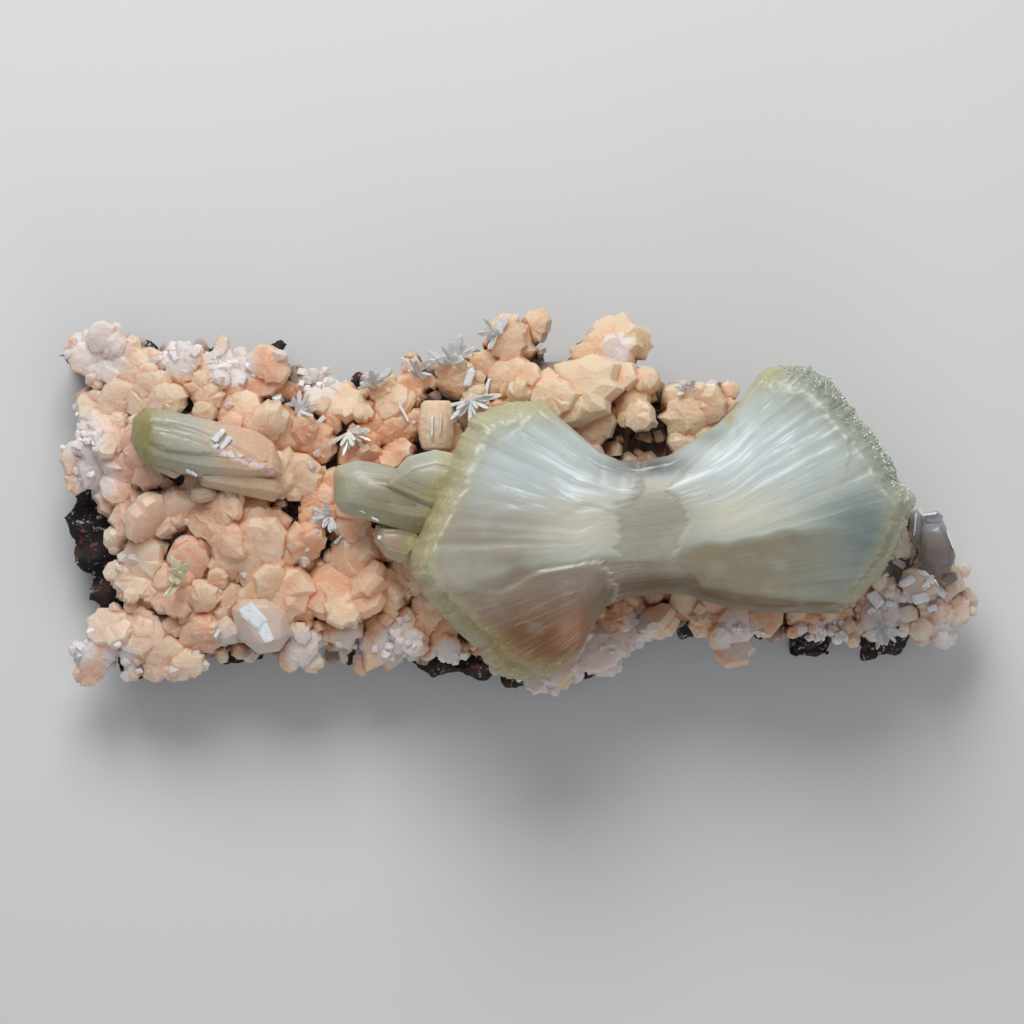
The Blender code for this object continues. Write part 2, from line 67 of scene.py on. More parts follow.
class Wire:
    # A socket in a material's tree; sums written with it add Math nodes
    def __init__(self, finish, socket):
        self.finish = finish
        self.socket = socket

    def maths(self, operation, *values):
        sockets = dict(enumerate(values))
        return self.finish.node("ShaderNodeMath", {"operation": operation}, sockets)

    def __add__(self, other):
        return self.maths("ADD", self, other)

    def __radd__(self, other):
        return self.maths("ADD", other, self)

    def __sub__(self, other):
        return self.maths("SUBTRACT", self, other)

    def __rsub__(self, other):
        return self.maths("SUBTRACT", other, self)

    def __mul__(self, other):
        return self.maths("MULTIPLY", self, other)

    def __rmul__(self, other):
        return self.maths("MULTIPLY", other, self)

    def size(self):
        return self.maths("ABSOLUTE", self)


class Finish:
    # One material: constants on its shader, and a tree that the expressions fill
    def __init__(self, name, **values):
        self.material = bpy.data.materials.new(name)
        self.material.use_nodes = True
        self.tree = self.material.node_tree
        self.shader = self.tree.nodes["Principled BSDF"]
        self.shade(**values)
        self.place = self.node("ShaderNodeTexCoord", out="Object")

    def node(self, kind, settings=None, sockets=None, out=0):
        made = self.tree.nodes.new(kind)
        for key, value in (settings or {}).items():
            if key == "stops":
                self.setStops(made.color_ramp, value)
            else:
                setattr(made, key, value)
        for key, value in (sockets or {}).items():
            self.feed(made.inputs[key], value)
        return Wire(self, made.outputs[out])

    def setStops(self, ramp, stops):
        while len(ramp.elements) < len(stops):
            ramp.elements.new(0.5)
        for element, (position, colour) in zip(ramp.elements, stops):
            element.position = position
            element.color = (*colour, 1.0)

    def feed(self, socket, value):
        if isinstance(value, Wire):
            self.tree.links.new(value.socket, socket)
        elif socket.type == "RGBA":
            socket.default_value = (*value, 1.0)
        else:
            socket.default_value = value

    def shade(self, **values):
        for socket, value in values.items():
            self.feed(self.shader.inputs[socket.replace("_", " ")], value)

    def ramp(self, value, *stops):
        return self.node("ShaderNodeValToRGB", {"stops": stops}, {"Fac": value})

    def mix(self, share, first, second, blend="MIX"):
        settings = {"data_type": "RGBA", "blend_type": blend}
        return self.node("ShaderNodeMix", settings, {0: share, 6: first, 7: second}, out=2)

    def noise(self, size, detail=4.0, roughness=0.55, place=None):
        # Noise whose lumps are about this many millimetres across
        sockets = {"Scale": 1 / (size * mm), "Detail": detail, "Roughness": roughness,
                   "Vector": place or self.place}
        return self.node("ShaderNodeTexNoise", None, sockets)

    def cells(self, size):
        # The distance from the middle of each place's cell, in cell sizes
        return self.node("ShaderNodeTexVoronoi", None, {"Scale": 1 / (size * mm), "Vector": self.place})

    def step(self, value, low, high):
        # 0 below low and 1 above high, smooth between them
        sockets = {"Value": value, "From Min": low, "From Max": high}
        return self.node("ShaderNodeMapRange", {"interpolation_type": "SMOOTHSTEP"}, sockets)

    def bump(self, height, depth, strength=1.0, after=None):
        sockets = {"Height": height, "Distance": depth * mm, "Strength": strength}
        if after:
            sockets["Normal"] = after
        return self.node("ShaderNodeBump", None, sockets)

    def attribute(self, name, out="Fac"):
        return self.node("ShaderNodeAttribute", {"attribute_name": name}, out=out)

    def axis(self, letter):
        return self.node("ShaderNodeSeparateXYZ", None, {"Vector": self.place}, out=letter)


# Meshes

def newObject(name, mesh, collection=None):
    made = bpy.data.objects.new(name, mesh)
    (collection or bpy.context.scene.collection).objects.link(made)
    return made


def meshFrom(name, shell):
    mesh = bpy.data.meshes.new(name)
    shell.to_mesh(mesh)
    shell.free()
    return mesh


def hullShell(points, bevel=0.0):
    # A closed convex crystal through these corners, with its edges taken off
    shell = bmesh.new()
    corners = [shell.verts.new(p * mm) for p in points]
    found = bmesh.ops.convex_hull(shell, input=corners)
    bmesh.ops.delete(shell, geom=found["geom_interior"], context="VERTS")
    bmesh.ops.dissolve_limit(shell, angle_limit=0.03, verts=shell.verts, edges=shell.edges)
    if bevel:
        bmesh.ops.bevel(shell, geom=shell.edges[:], offset=bevel * mm, segments=1, affect="EDGES",
                        profile=0.5, clamp_overlap=True)
    bmesh.ops.triangulate(shell, faces=shell.faces)
    return shell


def shellOf(mesh):
    shell = bmesh.new()
    shell.from_mesh(mesh)
    return shell


def settleFaces(shell):
    # Turns a closed shell's faces outwards and makes them triangles
    bmesh.ops.recalc_face_normals(shell, faces=shell.faces)
    bmesh.ops.triangulate(shell, faces=shell.faces)
    return shell


def joinShells(shells):
    joined = bmesh.new()
    for shell in shells:
        part = meshFrom("part", shell)
        joined.from_mesh(part)
        bpy.data.meshes.remove(part)
    return joined


def closed(shell):
    return all(len(edge.link_faces) == 2 for edge in shell.edges)


def applyModifiers(piece):
    # Turns what a piece's modifiers make into its plain mesh
    graph = bpy.context.evaluated_depsgraph_get()
    piece.data = bpy.data.meshes.new_from_object(piece.evaluated_get(graph))
    piece.modifiers.clear()


def fuse(name, shells):
    # Joins closed shells that overlap into one solid, starting from the first of them
    heap = bpy.data.collections.new("shells")
    bpy.context.scene.collection.children.link(heap)
    whole = newObject(name, meshFrom(name, shells[0]))
    for shell in shells[1:]:
        newObject("shell", meshFrom("shell", shell), heap)
    join = whole.modifiers.new("join", "BOOLEAN")
    join.operation = "UNION"
    join.solver = "MANIFOLD"
    join.operand_type = "COLLECTION"
    join.collection = heap
    applyModifiers(whole)
    for shell in list(heap.objects):
        bpy.data.objects.remove(shell)
    bpy.data.collections.remove(heap)
    return whole


def dress(piece, finish, node):
    # Gives a finished piece its material and its body, and hides the node that it stands for
    piece.data.materials.clear()
    piece.data.materials.append(finish.material)
    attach(piece, "root")
    if node:
        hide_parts(node)


def softEdges(piece, degrees):
    piece.data.shade_smooth()
    piece.data.set_sharp_from_angle(angle=math.radians(degrees))


def keepOuterSkin(piece):
    # Keeps the largest connected skin and takes out the hollows inside it
    shell = shellOf(piece.data)
    shell.verts.ensure_lookup_table()
    seen = set()
    islands = []
    for start in shell.verts:
        if start.index in seen:
            continue
        seen.add(start.index)
        island, edge = [start], [start]
        while edge:
            corner = edge.pop()
            for link in corner.link_edges:
                other = link.other_vert(corner)
                if other.index not in seen:
                    seen.add(other.index)
                    island.append(other)
                    edge.append(other)
        islands.append(island)
    islands.sort(key=len)
    for island in islands[:-1]:
        bmesh.ops.delete(shell, geom=island, context="VERTS")
    shell.to_mesh(piece.data)
    shell.free()


def pointPlaces(mesh):
    places = np.empty(len(mesh.vertices) * 3)
    mesh.vertices.foreach_get("co", places)
    normals = np.empty(len(mesh.vertices) * 3)
    mesh.vertex_normals.foreach_get("vector", normals)
    return places.reshape(-1, 3), normals.reshape(-1, 3)


def pushOut(mesh, push):
    # Moves each point out along its normal by push(its place), both in millimetres
    places, normals = pointPlaces(mesh)
    moves = np.array([push(Vector(place)) for place in places / mm])
    mesh.vertices.foreach_set("co", (places + normals * moves[:, None] * mm).ravel())
    mesh.update()


def pointValues(mesh, name, values):
    if name in mesh.attributes:
        mesh.attributes.remove(mesh.attributes[name])
    mesh.attributes.new(name, "FLOAT", "POINT").data.foreach_set("value", values)


def markEdges(mesh, passes, size):
    # How far each point stands out of its surroundings: 0 in a cleft, 0.5 on a flat place and 1 on an edge
    count = len(mesh.vertices)
    places, normals = pointPlaces(mesh)
    edges = np.empty(len(mesh.edges) * 2, dtype=int)
    mesh.edges.foreach_get("vertices", edges)
    edges = edges.reshape(-1, 2)
    point, other = np.concatenate((edges, edges[:, ::-1])).T
    links = np.bincount(point, minlength=count)
    smooth = places
    for _ in range(passes):
        around = [np.bincount(point, smooth[other, i], count) / links for i in range(3)]
        smooth = np.stack(around, 1)
    standing = ((places - smooth) * normals).sum(1) / (size * mm)
    pointValues(mesh, "edge", np.clip(0.5 + 0.5 * standing, 0, 1))


def addNode(tree, kind, sockets=None, **settings):
    made = tree.nodes.new(kind)
    for key, value in settings.items():
        setattr(made, key, value)
    for key, value in (sockets or {}).items():
        if isinstance(value, bpy.types.NodeSocket):
            tree.links.new(value, made.inputs[key])
        else:
            made.inputs[key].default_value = value
    return made


def scatterTree():
    # Geometry nodes that stand copies of one crystal on a surface, as densely as an attribute of it says
    tree = bpy.data.node_groups.new("scattered crystals", "GeometryNodeTree")
    for name, kind in (("Surface", "Geometry"), ("Crystal", "Object"), ("Where", "String"),
                       ("Density", "Float"), ("Smallest", "Float"), ("Largest", "Float"),
                       ("Tilt", "Float"), ("Seed", "Int"), ("Material", "Material")):
        tree.interface.new_socket(name, in_out="INPUT", socket_type="NodeSocket" + kind)
    tree.interface.new_socket("Crystals", in_out="OUTPUT", socket_type="NodeSocketGeometry")
    given = addNode(tree, "NodeGroupInput").outputs
    where = addNode(tree, "GeometryNodeInputNamedAttribute", {"Name": given["Where"]}, data_type="FLOAT")
    density = addNode(tree, "ShaderNodeMath", {0: given["Density"], 1: where.outputs[0]},
                      operation="MULTIPLY")
    points = addNode(tree, "GeometryNodeDistributePointsOnFaces",
                     {"Mesh": given["Surface"], "Density": density.outputs[0], "Seed": given["Seed"]})
    tilt = given["Tilt"]
    back = addNode(tree, "ShaderNodeMath", {0: tilt, 1: -1.0}, operation="MULTIPLY").outputs[0]
    least = addNode(tree, "ShaderNodeCombineXYZ", {0: back, 1: back, 2: -math.pi})
    most = addNode(tree, "ShaderNodeCombineXYZ", {0: tilt, 1: tilt, 2: math.pi})
    lean = addNode(tree, "FunctionNodeRandomValue",
                   {0: least.outputs[0], 1: most.outputs[0], "Seed": given["Seed"]},
                   data_type="FLOAT_VECTOR")
    turn = addNode(tree, "FunctionNodeRotateRotation",
                   {"Rotation": points.outputs["Rotation"], "Rotate By": lean.outputs[0]},
                   rotation_space="LOCAL")
    size = addNode(tree, "FunctionNodeRandomValue",
                   {2: given["Smallest"], 3: given["Largest"], "Seed": given["Seed"]}, data_type="FLOAT")
    crystal = addNode(tree, "GeometryNodeObjectInfo", {"Object": given["Crystal"]})
    copies = addNode(tree, "GeometryNodeInstanceOnPoints",
                     {"Points": points.outputs["Points"], "Instance": crystal.outputs["Geometry"],
                      "Rotation": turn.outputs[0], "Scale": size.outputs[1]})
    shade = addNode(tree, "FunctionNodeRandomValue", {"Seed": given["Seed"]}, data_type="FLOAT")
    toned = addNode(tree, "GeometryNodeStoreNamedAttribute",
                    {"Geometry": copies.outputs[0], "Name": "tone", "Value": shade.outputs[1]},
                    data_type="FLOAT", domain="INSTANCE")
    real = addNode(tree, "GeometryNodeRealizeInstances", {"Geometry": toned.outputs[0]})
    painted = addNode(tree, "GeometryNodeSetMaterial",
                      {"Geometry": real.outputs[0], "Material": given["Material"]})
    addNode(tree, "NodeGroupOutput", {"Crystals": painted.outputs[0]})
    return tree


def scatter(name, surface, crystals, finish):
    # Small crystals on a surface, as their dictionary says, made a plain mesh
    corners = [Vector(corner) / mm for corner in crystals["shape"]]
    crystal = newObject("crystal", meshFrom("crystal", hullShell(corners)))
    carrier = newObject(name, surface.data.copy())
    grow = carrier.modifiers.new("crystals", "NODES")
    grow.node_group = bpy.data.node_groups.get("scattered crystals") or scatterTree()
    values = {"crystal": crystal, "material": finish.material, **crystals}
    for socket in grow.node_group.interface.items_tree:
        if socket.in_out == "INPUT" and socket.name.lower() in values:
            grow[socket.identifier] = values[socket.name.lower()]
    applyModifiers(carrier)
    bpy.data.objects.remove(crystal)
    carrier.data.shade_flat()
    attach(carrier, "root")
    print(name + ":", len(carrier.data.polygons), "faces")


# The double sheaf

sheaf = {
    "waist": Vector((18.8, -3.4, 24.0)),
    "waistHalfDepth": 5.5,
    "rimHalfDepth": 9.6,
    "rimRounding": 3.4,
    "sideShare": 0.42,    # how deep the fans still are at their sides
    "upperCurve": 1.3,    # the roof falls gently from the crest on the upper side
    "lowerCurve": 0.95,   # and at once on the lower side
    "fibres": 230,
    "steps": 96,          # along each fibre, from the waist to a rim
    "ribs": 0.2,          # broad ribs along the fibres, and fine ridges on them
    "ridges": 0.08,
    "ribsAtWaist": 0.06,  # the share of them that is left at the waist
    "rightRibs": 0.6,     # and on the right fan
    "grains": 0.5,
    "grainReach": 4.0,    # how far in from the rims there are grains
    "rimTeeth": 0.4,
    "edgeWidth": 0.5,     # how wide the step at a sheet's broken edge is
}

# Both sides of the double sheaf, along their length: x, y
upperSide = [
    (-18.0, 32.8), (4.6, 13.1), (7.5, 10.4), (11.7, 6.9), (14.2, 5.8), (16.9, 5.7), (20.5, 6.4), (24.1, 8.6),
    (27.0, 10.6), (29.1, 12.6), (31.0, 15.2), (32.5, 17.3), (56.0, 41.0),
]
lowerSide = [
    (-18.0, -44.0), (6.2, -22.0), (9.0, -19.4), (10.6, -16.0), (12.4, -13.2), (15.0, -12.0), (19.5, -11.5),
    (22.9, -11.6), (24.8, -12.4), (28.5, -13.4), (33.7, -14.0), (38.5, -14.0), (46.0, -14.2), (56.0, -15.0),
]

# The crest along the top of both fans: x, y
crestLine = [(-12.0, -11.5), (4.0, -7.4), (18.8, -6.0), (28.5, -4.4), (38.5, -2.9), (52.0, -2.0)]

# The outer edges of the left fan, -1, and of the right one, 1, from the upper side to the lower
rims = {
    -1: [(4.6, 13.1), (1.8, 13.5), (-0.7, 13.0), (-4.7, 11.7), (-6.9, 7.6), (-8.2, 3.9), (-9.6, 0.6),
         (-11.3, -3.0), (-12.9, -6.4), (-12.7, -9.0), (-11.6, -11.3), (-9.4, -13.7), (-7.0, -16.0),
         (-4.7, -18.3), (-3.2, -20.6), (-0.9, -22.2), (2.6, -22.8), (6.2, -22.0)],
    1: [(32.5, 17.3), (35.0, 18.0), (38.1, 18.0), (40.4, 17.0), (42.9, 14.4), (45.2, 11.3), (48.6, 6.9),
        (50.6, 2.8), (52.3, 0.9), (51.7, -2.0), (50.0, -5.9), (47.6, -9.7), (45.4, -12.2), (42.8, -13.7)],
}

# Broken growth sheets on top of the fans: how high each stands, how far its broken ends reach along the
# fibres, the place where it stands out fully, the place where it has faded, and its outline
sheets = [
    (0.28, 0.5, (15.0, 3.0), (3.0, -4.0), [
        (16.4, 1.4), (15.3, 0.7), (14.0, 0.3), (13.3, -0.7), (11.7, -0.4), (9.8, 0.3), (6.5, -1.2),
        (2.6, -2.9), (-0.7, -2.9), (-2.2, -2.0), (-3.2, -0.7), (-4.2, 1.2), (-4.0, 2.9), (-3.6, 5.1),
        (-2.1, 6.9), (0.0, 9.0), (2.6, 11.6), (6.0, 14.0), (12.0, 9.5), (16.6, 6.5)]),
    (0.2, 0.4, (10.0, -4.0), (-8.0, 9.0), [
        (14.3, -2.6), (13.8, -3.6), (14.2, -4.7), (13.5, -5.6), (14.4, -6.8), (11.4, -7.0), (7.8, -7.3),
        (4.0, -7.4), (2.6, -9.5), (0.3, -10.9), (-2.9, -11.1), (-6.2, -10.4), (-7.8, -8.8), (-9.4, -7.2),
        (-10.4, -4.7), (-10.3, -1.3), (-9.9, 1.2), (-8.5, 4.0), (-6.5, 6.5), (-2.6, 9.8), (1.3, 11.6),
        (6.5, 15.0), (13.0, 10.0), (17.5, 7.0), (16.9, 1.7), (15.3, 0.1), (13.3, -1.2)]),
    (0.4, 0.8, (4.0, -14.0), (-6.0, -12.0), [
        (11.7, -7.2), (13.0, -9.1), (14.6, -13.5), (11.5, -17.0), (8.0, -23.0), (2.0, -21.0), (-0.7, -19.8),
        (-2.9, -17.6), (-5.2, -15.0), (-7.8, -12.3), (-6.5, -10.5), (-1.3, -11.3), (3.9, -8.5)]),
    (0.25, 0.45, (20.0, -2.0), (46.0, 11.0), [
        (20.0, 2.0), (21.6, 1.2), (22.4, -0.4), (23.1, -2.0), (22.5, -3.2), (22.0, -4.7), (21.6, -5.7),
        (20.9, -6.6), (22.2, -7.7), (23.9, -8.7), (25.0, -10.3), (27.3, -10.5), (30.6, -11.1),
        (36.4, -11.7), (41.0, -12.0), (44.2, -12.3), (46.5, -10.0), (48.6, -6.6), (50.2, -3.2),
        (51.0, 0.0), (49.9, 2.2), (47.8, 6.1), (44.5, 10.5), (42.1, 13.9), (39.6, 16.2), (36.4, 17.0),
        (33.5, 16.5), (31.5, 14.2), (29.6, 11.6), (27.6, 9.2), (24.7, 6.4), (22.1, 3.8)]),
    (0.35, 0.7, (43.0, 8.0), (38.0, 5.5), [
        (24.7, 4.8), (27.3, 7.7), (30.6, 11.1), (33.1, 13.9), (36.4, 15.2), (39.6, 14.2), (42.2, 11.1),
        (43.6, 8.5), (43.3, 5.7), (42.8, 3.2), (41.1, 1.7), (37.7, 2.5), (33.8, 1.7), (29.2, 0.7),
        (25.4, 1.7)]),
    (0.35, 0.6, (49.5, 0.0), (43.0, 0.5), [
        (42.2, -3.0), (45.2, -4.0), (47.7, -4.3), (48.9, -3.0), (49.8, -1.4), (50.3, 0.9), (48.8, 3.2),
        (46.3, 4.5), (44.2, 3.0), (43.2, 0.4)]),
]

# The faces whose fibres catch the light, where bright streaks are painted as highlights of the sheen; the
# third is the neck
sheenFaces = [
    [(17.0, 2.2), (14.4, 0.2), (11.0, -0.6), (6.0, -1.0), (1.0, -1.4), (-2.4, 0.4), (-3.4, 3.4), (-1.6, 7.6),
     (1.0, 10.6), (5.0, 13.4), (9.0, 9.6), (13.6, 6.2)],
    [(19.4, 1.6), (22.4, 4.4), (26.0, 8.0), (29.6, 11.8), (33.4, 15.0), (38.0, 15.8), (41.8, 12.0),
     (43.0, 7.4), (40.0, 4.8), (35.0, 3.4), (30.0, 1.6), (26.0, 0.4), (22.2, 0.0)],
    [(13.4, 3.2), (15.4, 5.9), (20.0, 6.4), (22.6, 7.2), (21.2, 4.6), (18.6, 3.4)],
]


def climb(values, start, width):
    # From 0 at the start to 1 a width further on, or further back where the width is below 0
    return np.clip((values - start) / width, 0, 1)


def spotOf(x, y, px, py, wide, high):
    # A soft spot round a place, 1 at its middle
    return np.exp(-((x - px) / wide) ** 2 - ((y - py) / high) ** 2)


def noiseAt(*place):
    return noise.noise(Vector(place))


def sides(x):
    # The y of the upper side and of the lower one
    return [np.interp(x, *zip(*side)) for side in (upperSide, lowerSide)]


def fibreAt(x, y):
    # 1 on the upper side of the double sheaf, -1 on the lower, and the same all along one fibre
    top, bottom = sides(x)
    return (2 * y - top - bottom) / (top - bottom)


def fibreHeight(x, fibre):
    # The y at which a fibre passes an x
    top, bottom = sides(x)
    return (top + bottom + fibre * (top - bottom)) / 2


def fibreReach(fibres, onLeft):
    # How far from the waist each fibre reaches, to the rim of the left fan or of the right one
    reaches = []
    for side in (-1, 1):
        rim = np.array(rims[side])
        rimFibres = fibreAt(*rim.T)
        order = np.argsort(rimFibres)
        reaches.append(np.interp(fibres, rimFibres[order], (rim[order, 0] - sheaf["waist"].x) * side))
    return np.where(onLeft, *reaches)


def outlineDepths(outline, places):
    # How far inside the outline each place lies, below 0 outside
    starts = np.array(outline)
    ends = np.roll(starts, -1, axis=0)
    nearest = np.full(len(places), 1e9)
    crossings = np.zeros(len(places), dtype=int)
    for (ax, ay), (bx, by) in zip(starts, ends):
        along = np.array((bx - ax, by - ay))
        share = np.clip(((places - (ax, ay)) @ along) / max(1e-9, along @ along), 0, 1)
        gap = np.hypot(places[:, 0] - ax - share * along[0], places[:, 1] - ay - share * along[1])
        nearest = np.minimum(nearest, gap)
        if ay != by:
            crosses = (ay > places[:, 1]) != (by > places[:, 1])
            left = places[:, 0] < (bx - ax) * (places[:, 1] - ay) / (by - ay) + ax
            crossings += crosses & left
    return np.where(crossings % 2 == 1, nearest, -nearest)


def sheetDepths(places):
    # For each sheet: how far inside it each place lies, and how high the sheet stands there
    fibre = fibreAt(*places.T)
    ahead = places[:, 0] + 1.0
    way = np.stack((ahead, fibreHeight(ahead, fibre)), 1) - places
    way /= np.hypot(*way.T)[:, None]
    found = []
    for i, (height, reach, full, faded, outline) in enumerate(sheets):
        teeth = np.array([noiseAt(u * 6.0, 5.0 * i, 0.0) + noiseAt(u * 15.0, 5.0 * i, 1.0)
                          + 0.35 * noiseAt(u * 34.0, 5.0 * i, 2.0) for u in fibre])
        inside = outlineDepths(outline, places + way * (reach * teeth)[:, None])
        line = np.subtract(full, faded)
        stands = np.clip((places - faded) @ line / (line @ line), 0, 1)
        found.append((inside, height * stands))
    return found


def crestAt(x):
    # The line along the top of both fans that parts the lit side from the shaded one, a little uneven
    line = np.interp(x, *zip(*crestLine))
    return line + 0.2 * np.sin(x * 0.55 + 1.0) + 0.12 * np.sin(x * 1.3)


def halfDepth(x, y, fibre, inwards):
    # Half the thickness of the double sheaf at each place: a rounded band at the waist, roofs on the fans
    away = np.abs(x - sheaf["waist"].x)
    grown = climb(away, 3.0, 27.0)
    onFan = climb(away, 2.0, 12.0)
    onFan = onFan * onFan * (3 - 2 * onFan)
    top, bottom = sides(x)
    crest = crestAt(x)
    upper = climb(y, crest, top - crest) ** sheaf["upperCurve"]
    lower = climb(y, crest, bottom - crest) ** (sheaf["lowerCurve"] + 1.1 * climb(x, 36.0, 9.0))
    fan = 1 - (1 - sheaf["sideShare"]) * np.maximum(upper, lower)
    fan *= np.sqrt(1 - climb(np.abs(fibre), 0.93, 0.07) ** 2)
    waist = np.clip(1 - np.abs(fibre) ** 2.6, 0, 1) ** (1 / 2.2)
    deep = (1 - onFan) * waist + onFan * fan
    rounding = np.clip(1 - inwards / sheaf["rimRounding"], 0, 1)
    deep *= np.sqrt(np.clip(1 - rounding ** 2.2, 0, 1))
    return deep * (sheaf["waistHalfDepth"] + (sheaf["rimHalfDepth"] - sheaf["waistHalfDepth"]) * grown)


def grainsAt(spot):
    # Bumps of two sizes, from how much further the second nearest cell is than the nearest
    broad, _ = noise.voronoi(spot * 0.6)
    small, _ = noise.voronoi(spot * 1.3)
    return broad[1] - broad[0] - 0.3 + 0.5 * (small[1] - small[0])


def sheafRelief(fibre, x, y, deep, inwards, grown, level):
    # Ribs and ridges along the fibres, which fade towards the waist, and grains near the rims
    heights = []
    for u, px, py, d, inner, g in zip(fibre, x, y, deep, inwards, grown):
        relief = sheaf["ribs"] * noiseAt(u * 11.0, px * 0.03, 20.0 * level)
        relief += sheaf["ridges"] * noiseAt(u * 34.0, px * 0.05, 9.0 * level)
        share = 1.0 if px <= sheaf["waist"].x else sheaf["rightRibs"]
        relief *= (sheaf["ribsAtWaist"] + (1 - sheaf["ribsAtWaist"]) * g) * share
        if inner < sheaf["grainReach"]:
            grains = grainsAt(Vector((px, py, level * d)))
            relief += sheaf["grains"] * grains * (1 - inner / sheaf["grainReach"])
        heights.append(relief)
    return np.array(heights)


def netShell(upper, lower, across):
    # A closed shell of an upper and a lower net of points, given row by row, that meet along their edges
    shell = bmesh.new()
    nets = [[shell.verts.new(Vector(place) * mm) for place in places] for places in (upper, lower)]
    over, under = nets
    along = len(over) // across
    for j in range(along):
        for i in range(across):
            k = j * across + i
            if i in (0, across - 1) or j in (0, along - 1):
                over[k].co = (over[k].co + under[k].co) / 2
                shell.verts.remove(under[k])
                under[k] = over[k]
    for net in nets:
        for j in range(along - 1):
            for i in range(across - 1):
                k = j * across + i
                corners = [net[k], net[k + 1], net[k + across + 1], net[k + across]]
                shell.faces.new(corners[::-1] if net is over else corners)
    return settleFaces(shell)


def sheafShell():
    # The double sheaf as a closed net of fibres, from one rim over the waist to the other
    spread = np.linspace(-0.5, 0.5, sheaf["fibres"] + 1)
    fibres = np.sin(spread * math.pi * 0.92) / math.sin(0.46 * math.pi)
    shares = 1 - (1 - np.linspace(0, 1, sheaf["steps"] + 1)) ** 1.3
    shares = np.concatenate((-shares[:0:-1], shares))
    fibre, share = [grid.ravel() for grid in np.meshgrid(fibres, shares)]
    teeth = np.array([noiseAt(u * 9.0, side * 3.0, 0.0) + 0.6 * noiseAt(u * 24.0, side, 5.0)
                      + 0.35 * noiseAt(u * 55.0, side, 8.0) for u, side in zip(fibre, np.sign(share))])
    ends = fibreReach(fibre, share < 0) + sheaf["rimTeeth"] * teeth
    x = sheaf["waist"].x + share * ends
    y = fibreHeight(x, fibre)
    inwards = ends * (1 - np.abs(share))
    deep = halfDepth(x, y, fibre, inwards)
    lift = np.zeros(len(x))
    for inside, height in sheetDepths(np.stack((x, y), 1)):
        lift += height * np.clip(inside / sheaf["edgeWidth"] + 0.5, 0, 1)
    grown = climb(ends - inwards, 6.0, 12.0)
    closing = np.clip(deep / 3.0, 0, 1)
    nets = []
    for level in (1, -1):
        relief = sheafRelief(fibre, x, y, deep, inwards, grown, level)
        if level > 0:
            relief += lift
        nets.append(np.stack((x, y, sheaf["waist"].z + level * (deep + relief * closing)), 1))
    return netShell(*nets, len(fibres))


# Colours that are laid over one another on the sheaf
sheafColours = {
    "silk": (0.50, 0.54, 0.47),
    "white": (0.60, 0.68, 0.69),
    "cream": (0.66, 0.63, 0.49),
    "lilac": (0.35, 0.30, 0.235),
    # tan: the colour of the lower left fan, laid darker there as painted shade
    "tan": (0.205, 0.085, 0.026),
    "olive": (0.33, 0.265, 0.15),
    "blue": (0.125, 0.175, 0.175),
    "rim": (0.42, 0.36, 0.145),
    "glass": (0.26, 0.30, 0.235),
    "yellow": (0.45, 0.31, 0.02),
    # neck: the dark ground of the painted reflection on the glassy neck
    "neck": (0.10, 0.10, 0.098),
    "waist": (0.39, 0.365, 0.28),
    # bright: the painted highlight of the sheen streaks
    "bright": (0.86, 0.91, 0.93),
    # low: the brown of the lower sides, laid darker there as painted shade
    "low": (0.16, 0.095, 0.03),
    "peach": (0.52, 0.24, 0.11),
    "lobe": (0.32, 0.27, 0.18),
    "seam": (0.74, 0.71, 0.54),
}

# Soft spots of them: x, y, how far they spread each way, colour and strength
sheafTints = [
    # The white spots on the upper faces that face the light are partly their pale colour and partly painted
    # light
    (2.0, 4.5, 12.0, 5.0, "white", 0.7), (9.0, -2.8, 8.0, 3.4, "cream", 0.95),
    (-3.0, -4.0, 8.5, 4.4, "lilac", 0.85), (30.0, 6.0, 13.0, 6.0, "white", 0.75),
    (29.0, -1.0, 8.0, 3.0, "cream", 0.85), (45.0, -2.0, 6.5, 5.0, "blue", 0.8),
    (50.0, -8.0, 6.0, 5.0, "blue", 0.6), (18.8, -2.6, 4.4, 6.4, "waist", 0.95),
    (28.2, 11.6, 0.8, 1.1, "yellow", 0.95), (29.4, 13.2, 0.6, 0.8, "yellow", 0.7),
    # The neck is painted dark, with painted highlight streaks on it: a painted reflection of its silvery
    # glassy sheen
    (18.0, 5.0, 6.0, 1.7, "neck", 0.95),
    (26.0, 9.0, 3.0, 1.6, "glass", 0.7), (0.6, -7.2, 3.0, 2.2, "lobe", 0.75),
    (-15.0, 0.5, 8.0, 7.0, "olive", 0.9), (-22.6, 3.0, 2.0, 3.0, "rim", 0.7),
    (42.0, 15.0, 6.0, 4.0, "glass", 0.75), (51.0, 5.0, 4.0, 7.0, "glass", 0.7),
    (-15.2, -5.2, 2.2, 2.2, "peach", 0.5), (-7.0, -9.0, 5.0, 3.6, "lilac", 0.8),
]

# Broad bright streaks, painted highlights of the silky sheen: the fan, the fibre they follow, how wide they
# are, how far from the waist they start and end, and their strength
paintedSheenStreaks = [
    (-1, 0.62, 0.045, 8.0, 17.0, 0.9), (-1, 0.76, 0.035, 10.0, 19.0, 0.5), (-1, 0.48, 0.035, 6.5, 14.0, 0.6),
    (-1, 0.30, 0.03, 4.5, 11.0, 0.7), (-1, 0.56, 0.06, 2.2, 6.0, 0.8), (-1, 0.14, 0.02, 8.0, 15.0, 0.3),
    (1, 0.53, 0.045, 1.4, 12.0, 0.95), (1, 0.40, 0.03, 12.0, 20.0, 0.6), (1, 0.30, 0.025, 8.0, 17.0, 0.4),
    (1, 0.08, 0.03, 12.0, 23.0, 0.65), (1, 0.62, 0.03, 8.0, 15.0, 0.35), (1, 0.18, 0.03, 4.0, 13.0, 0.35),
]


def paint(colours, share, name):
    # Lays one of the sheaf's colours over those that are there
    share = np.clip(share, 0, 1)[:, None]
    colours[:] = colours * (1 - share) + np.array(sheafColours[name]) * share


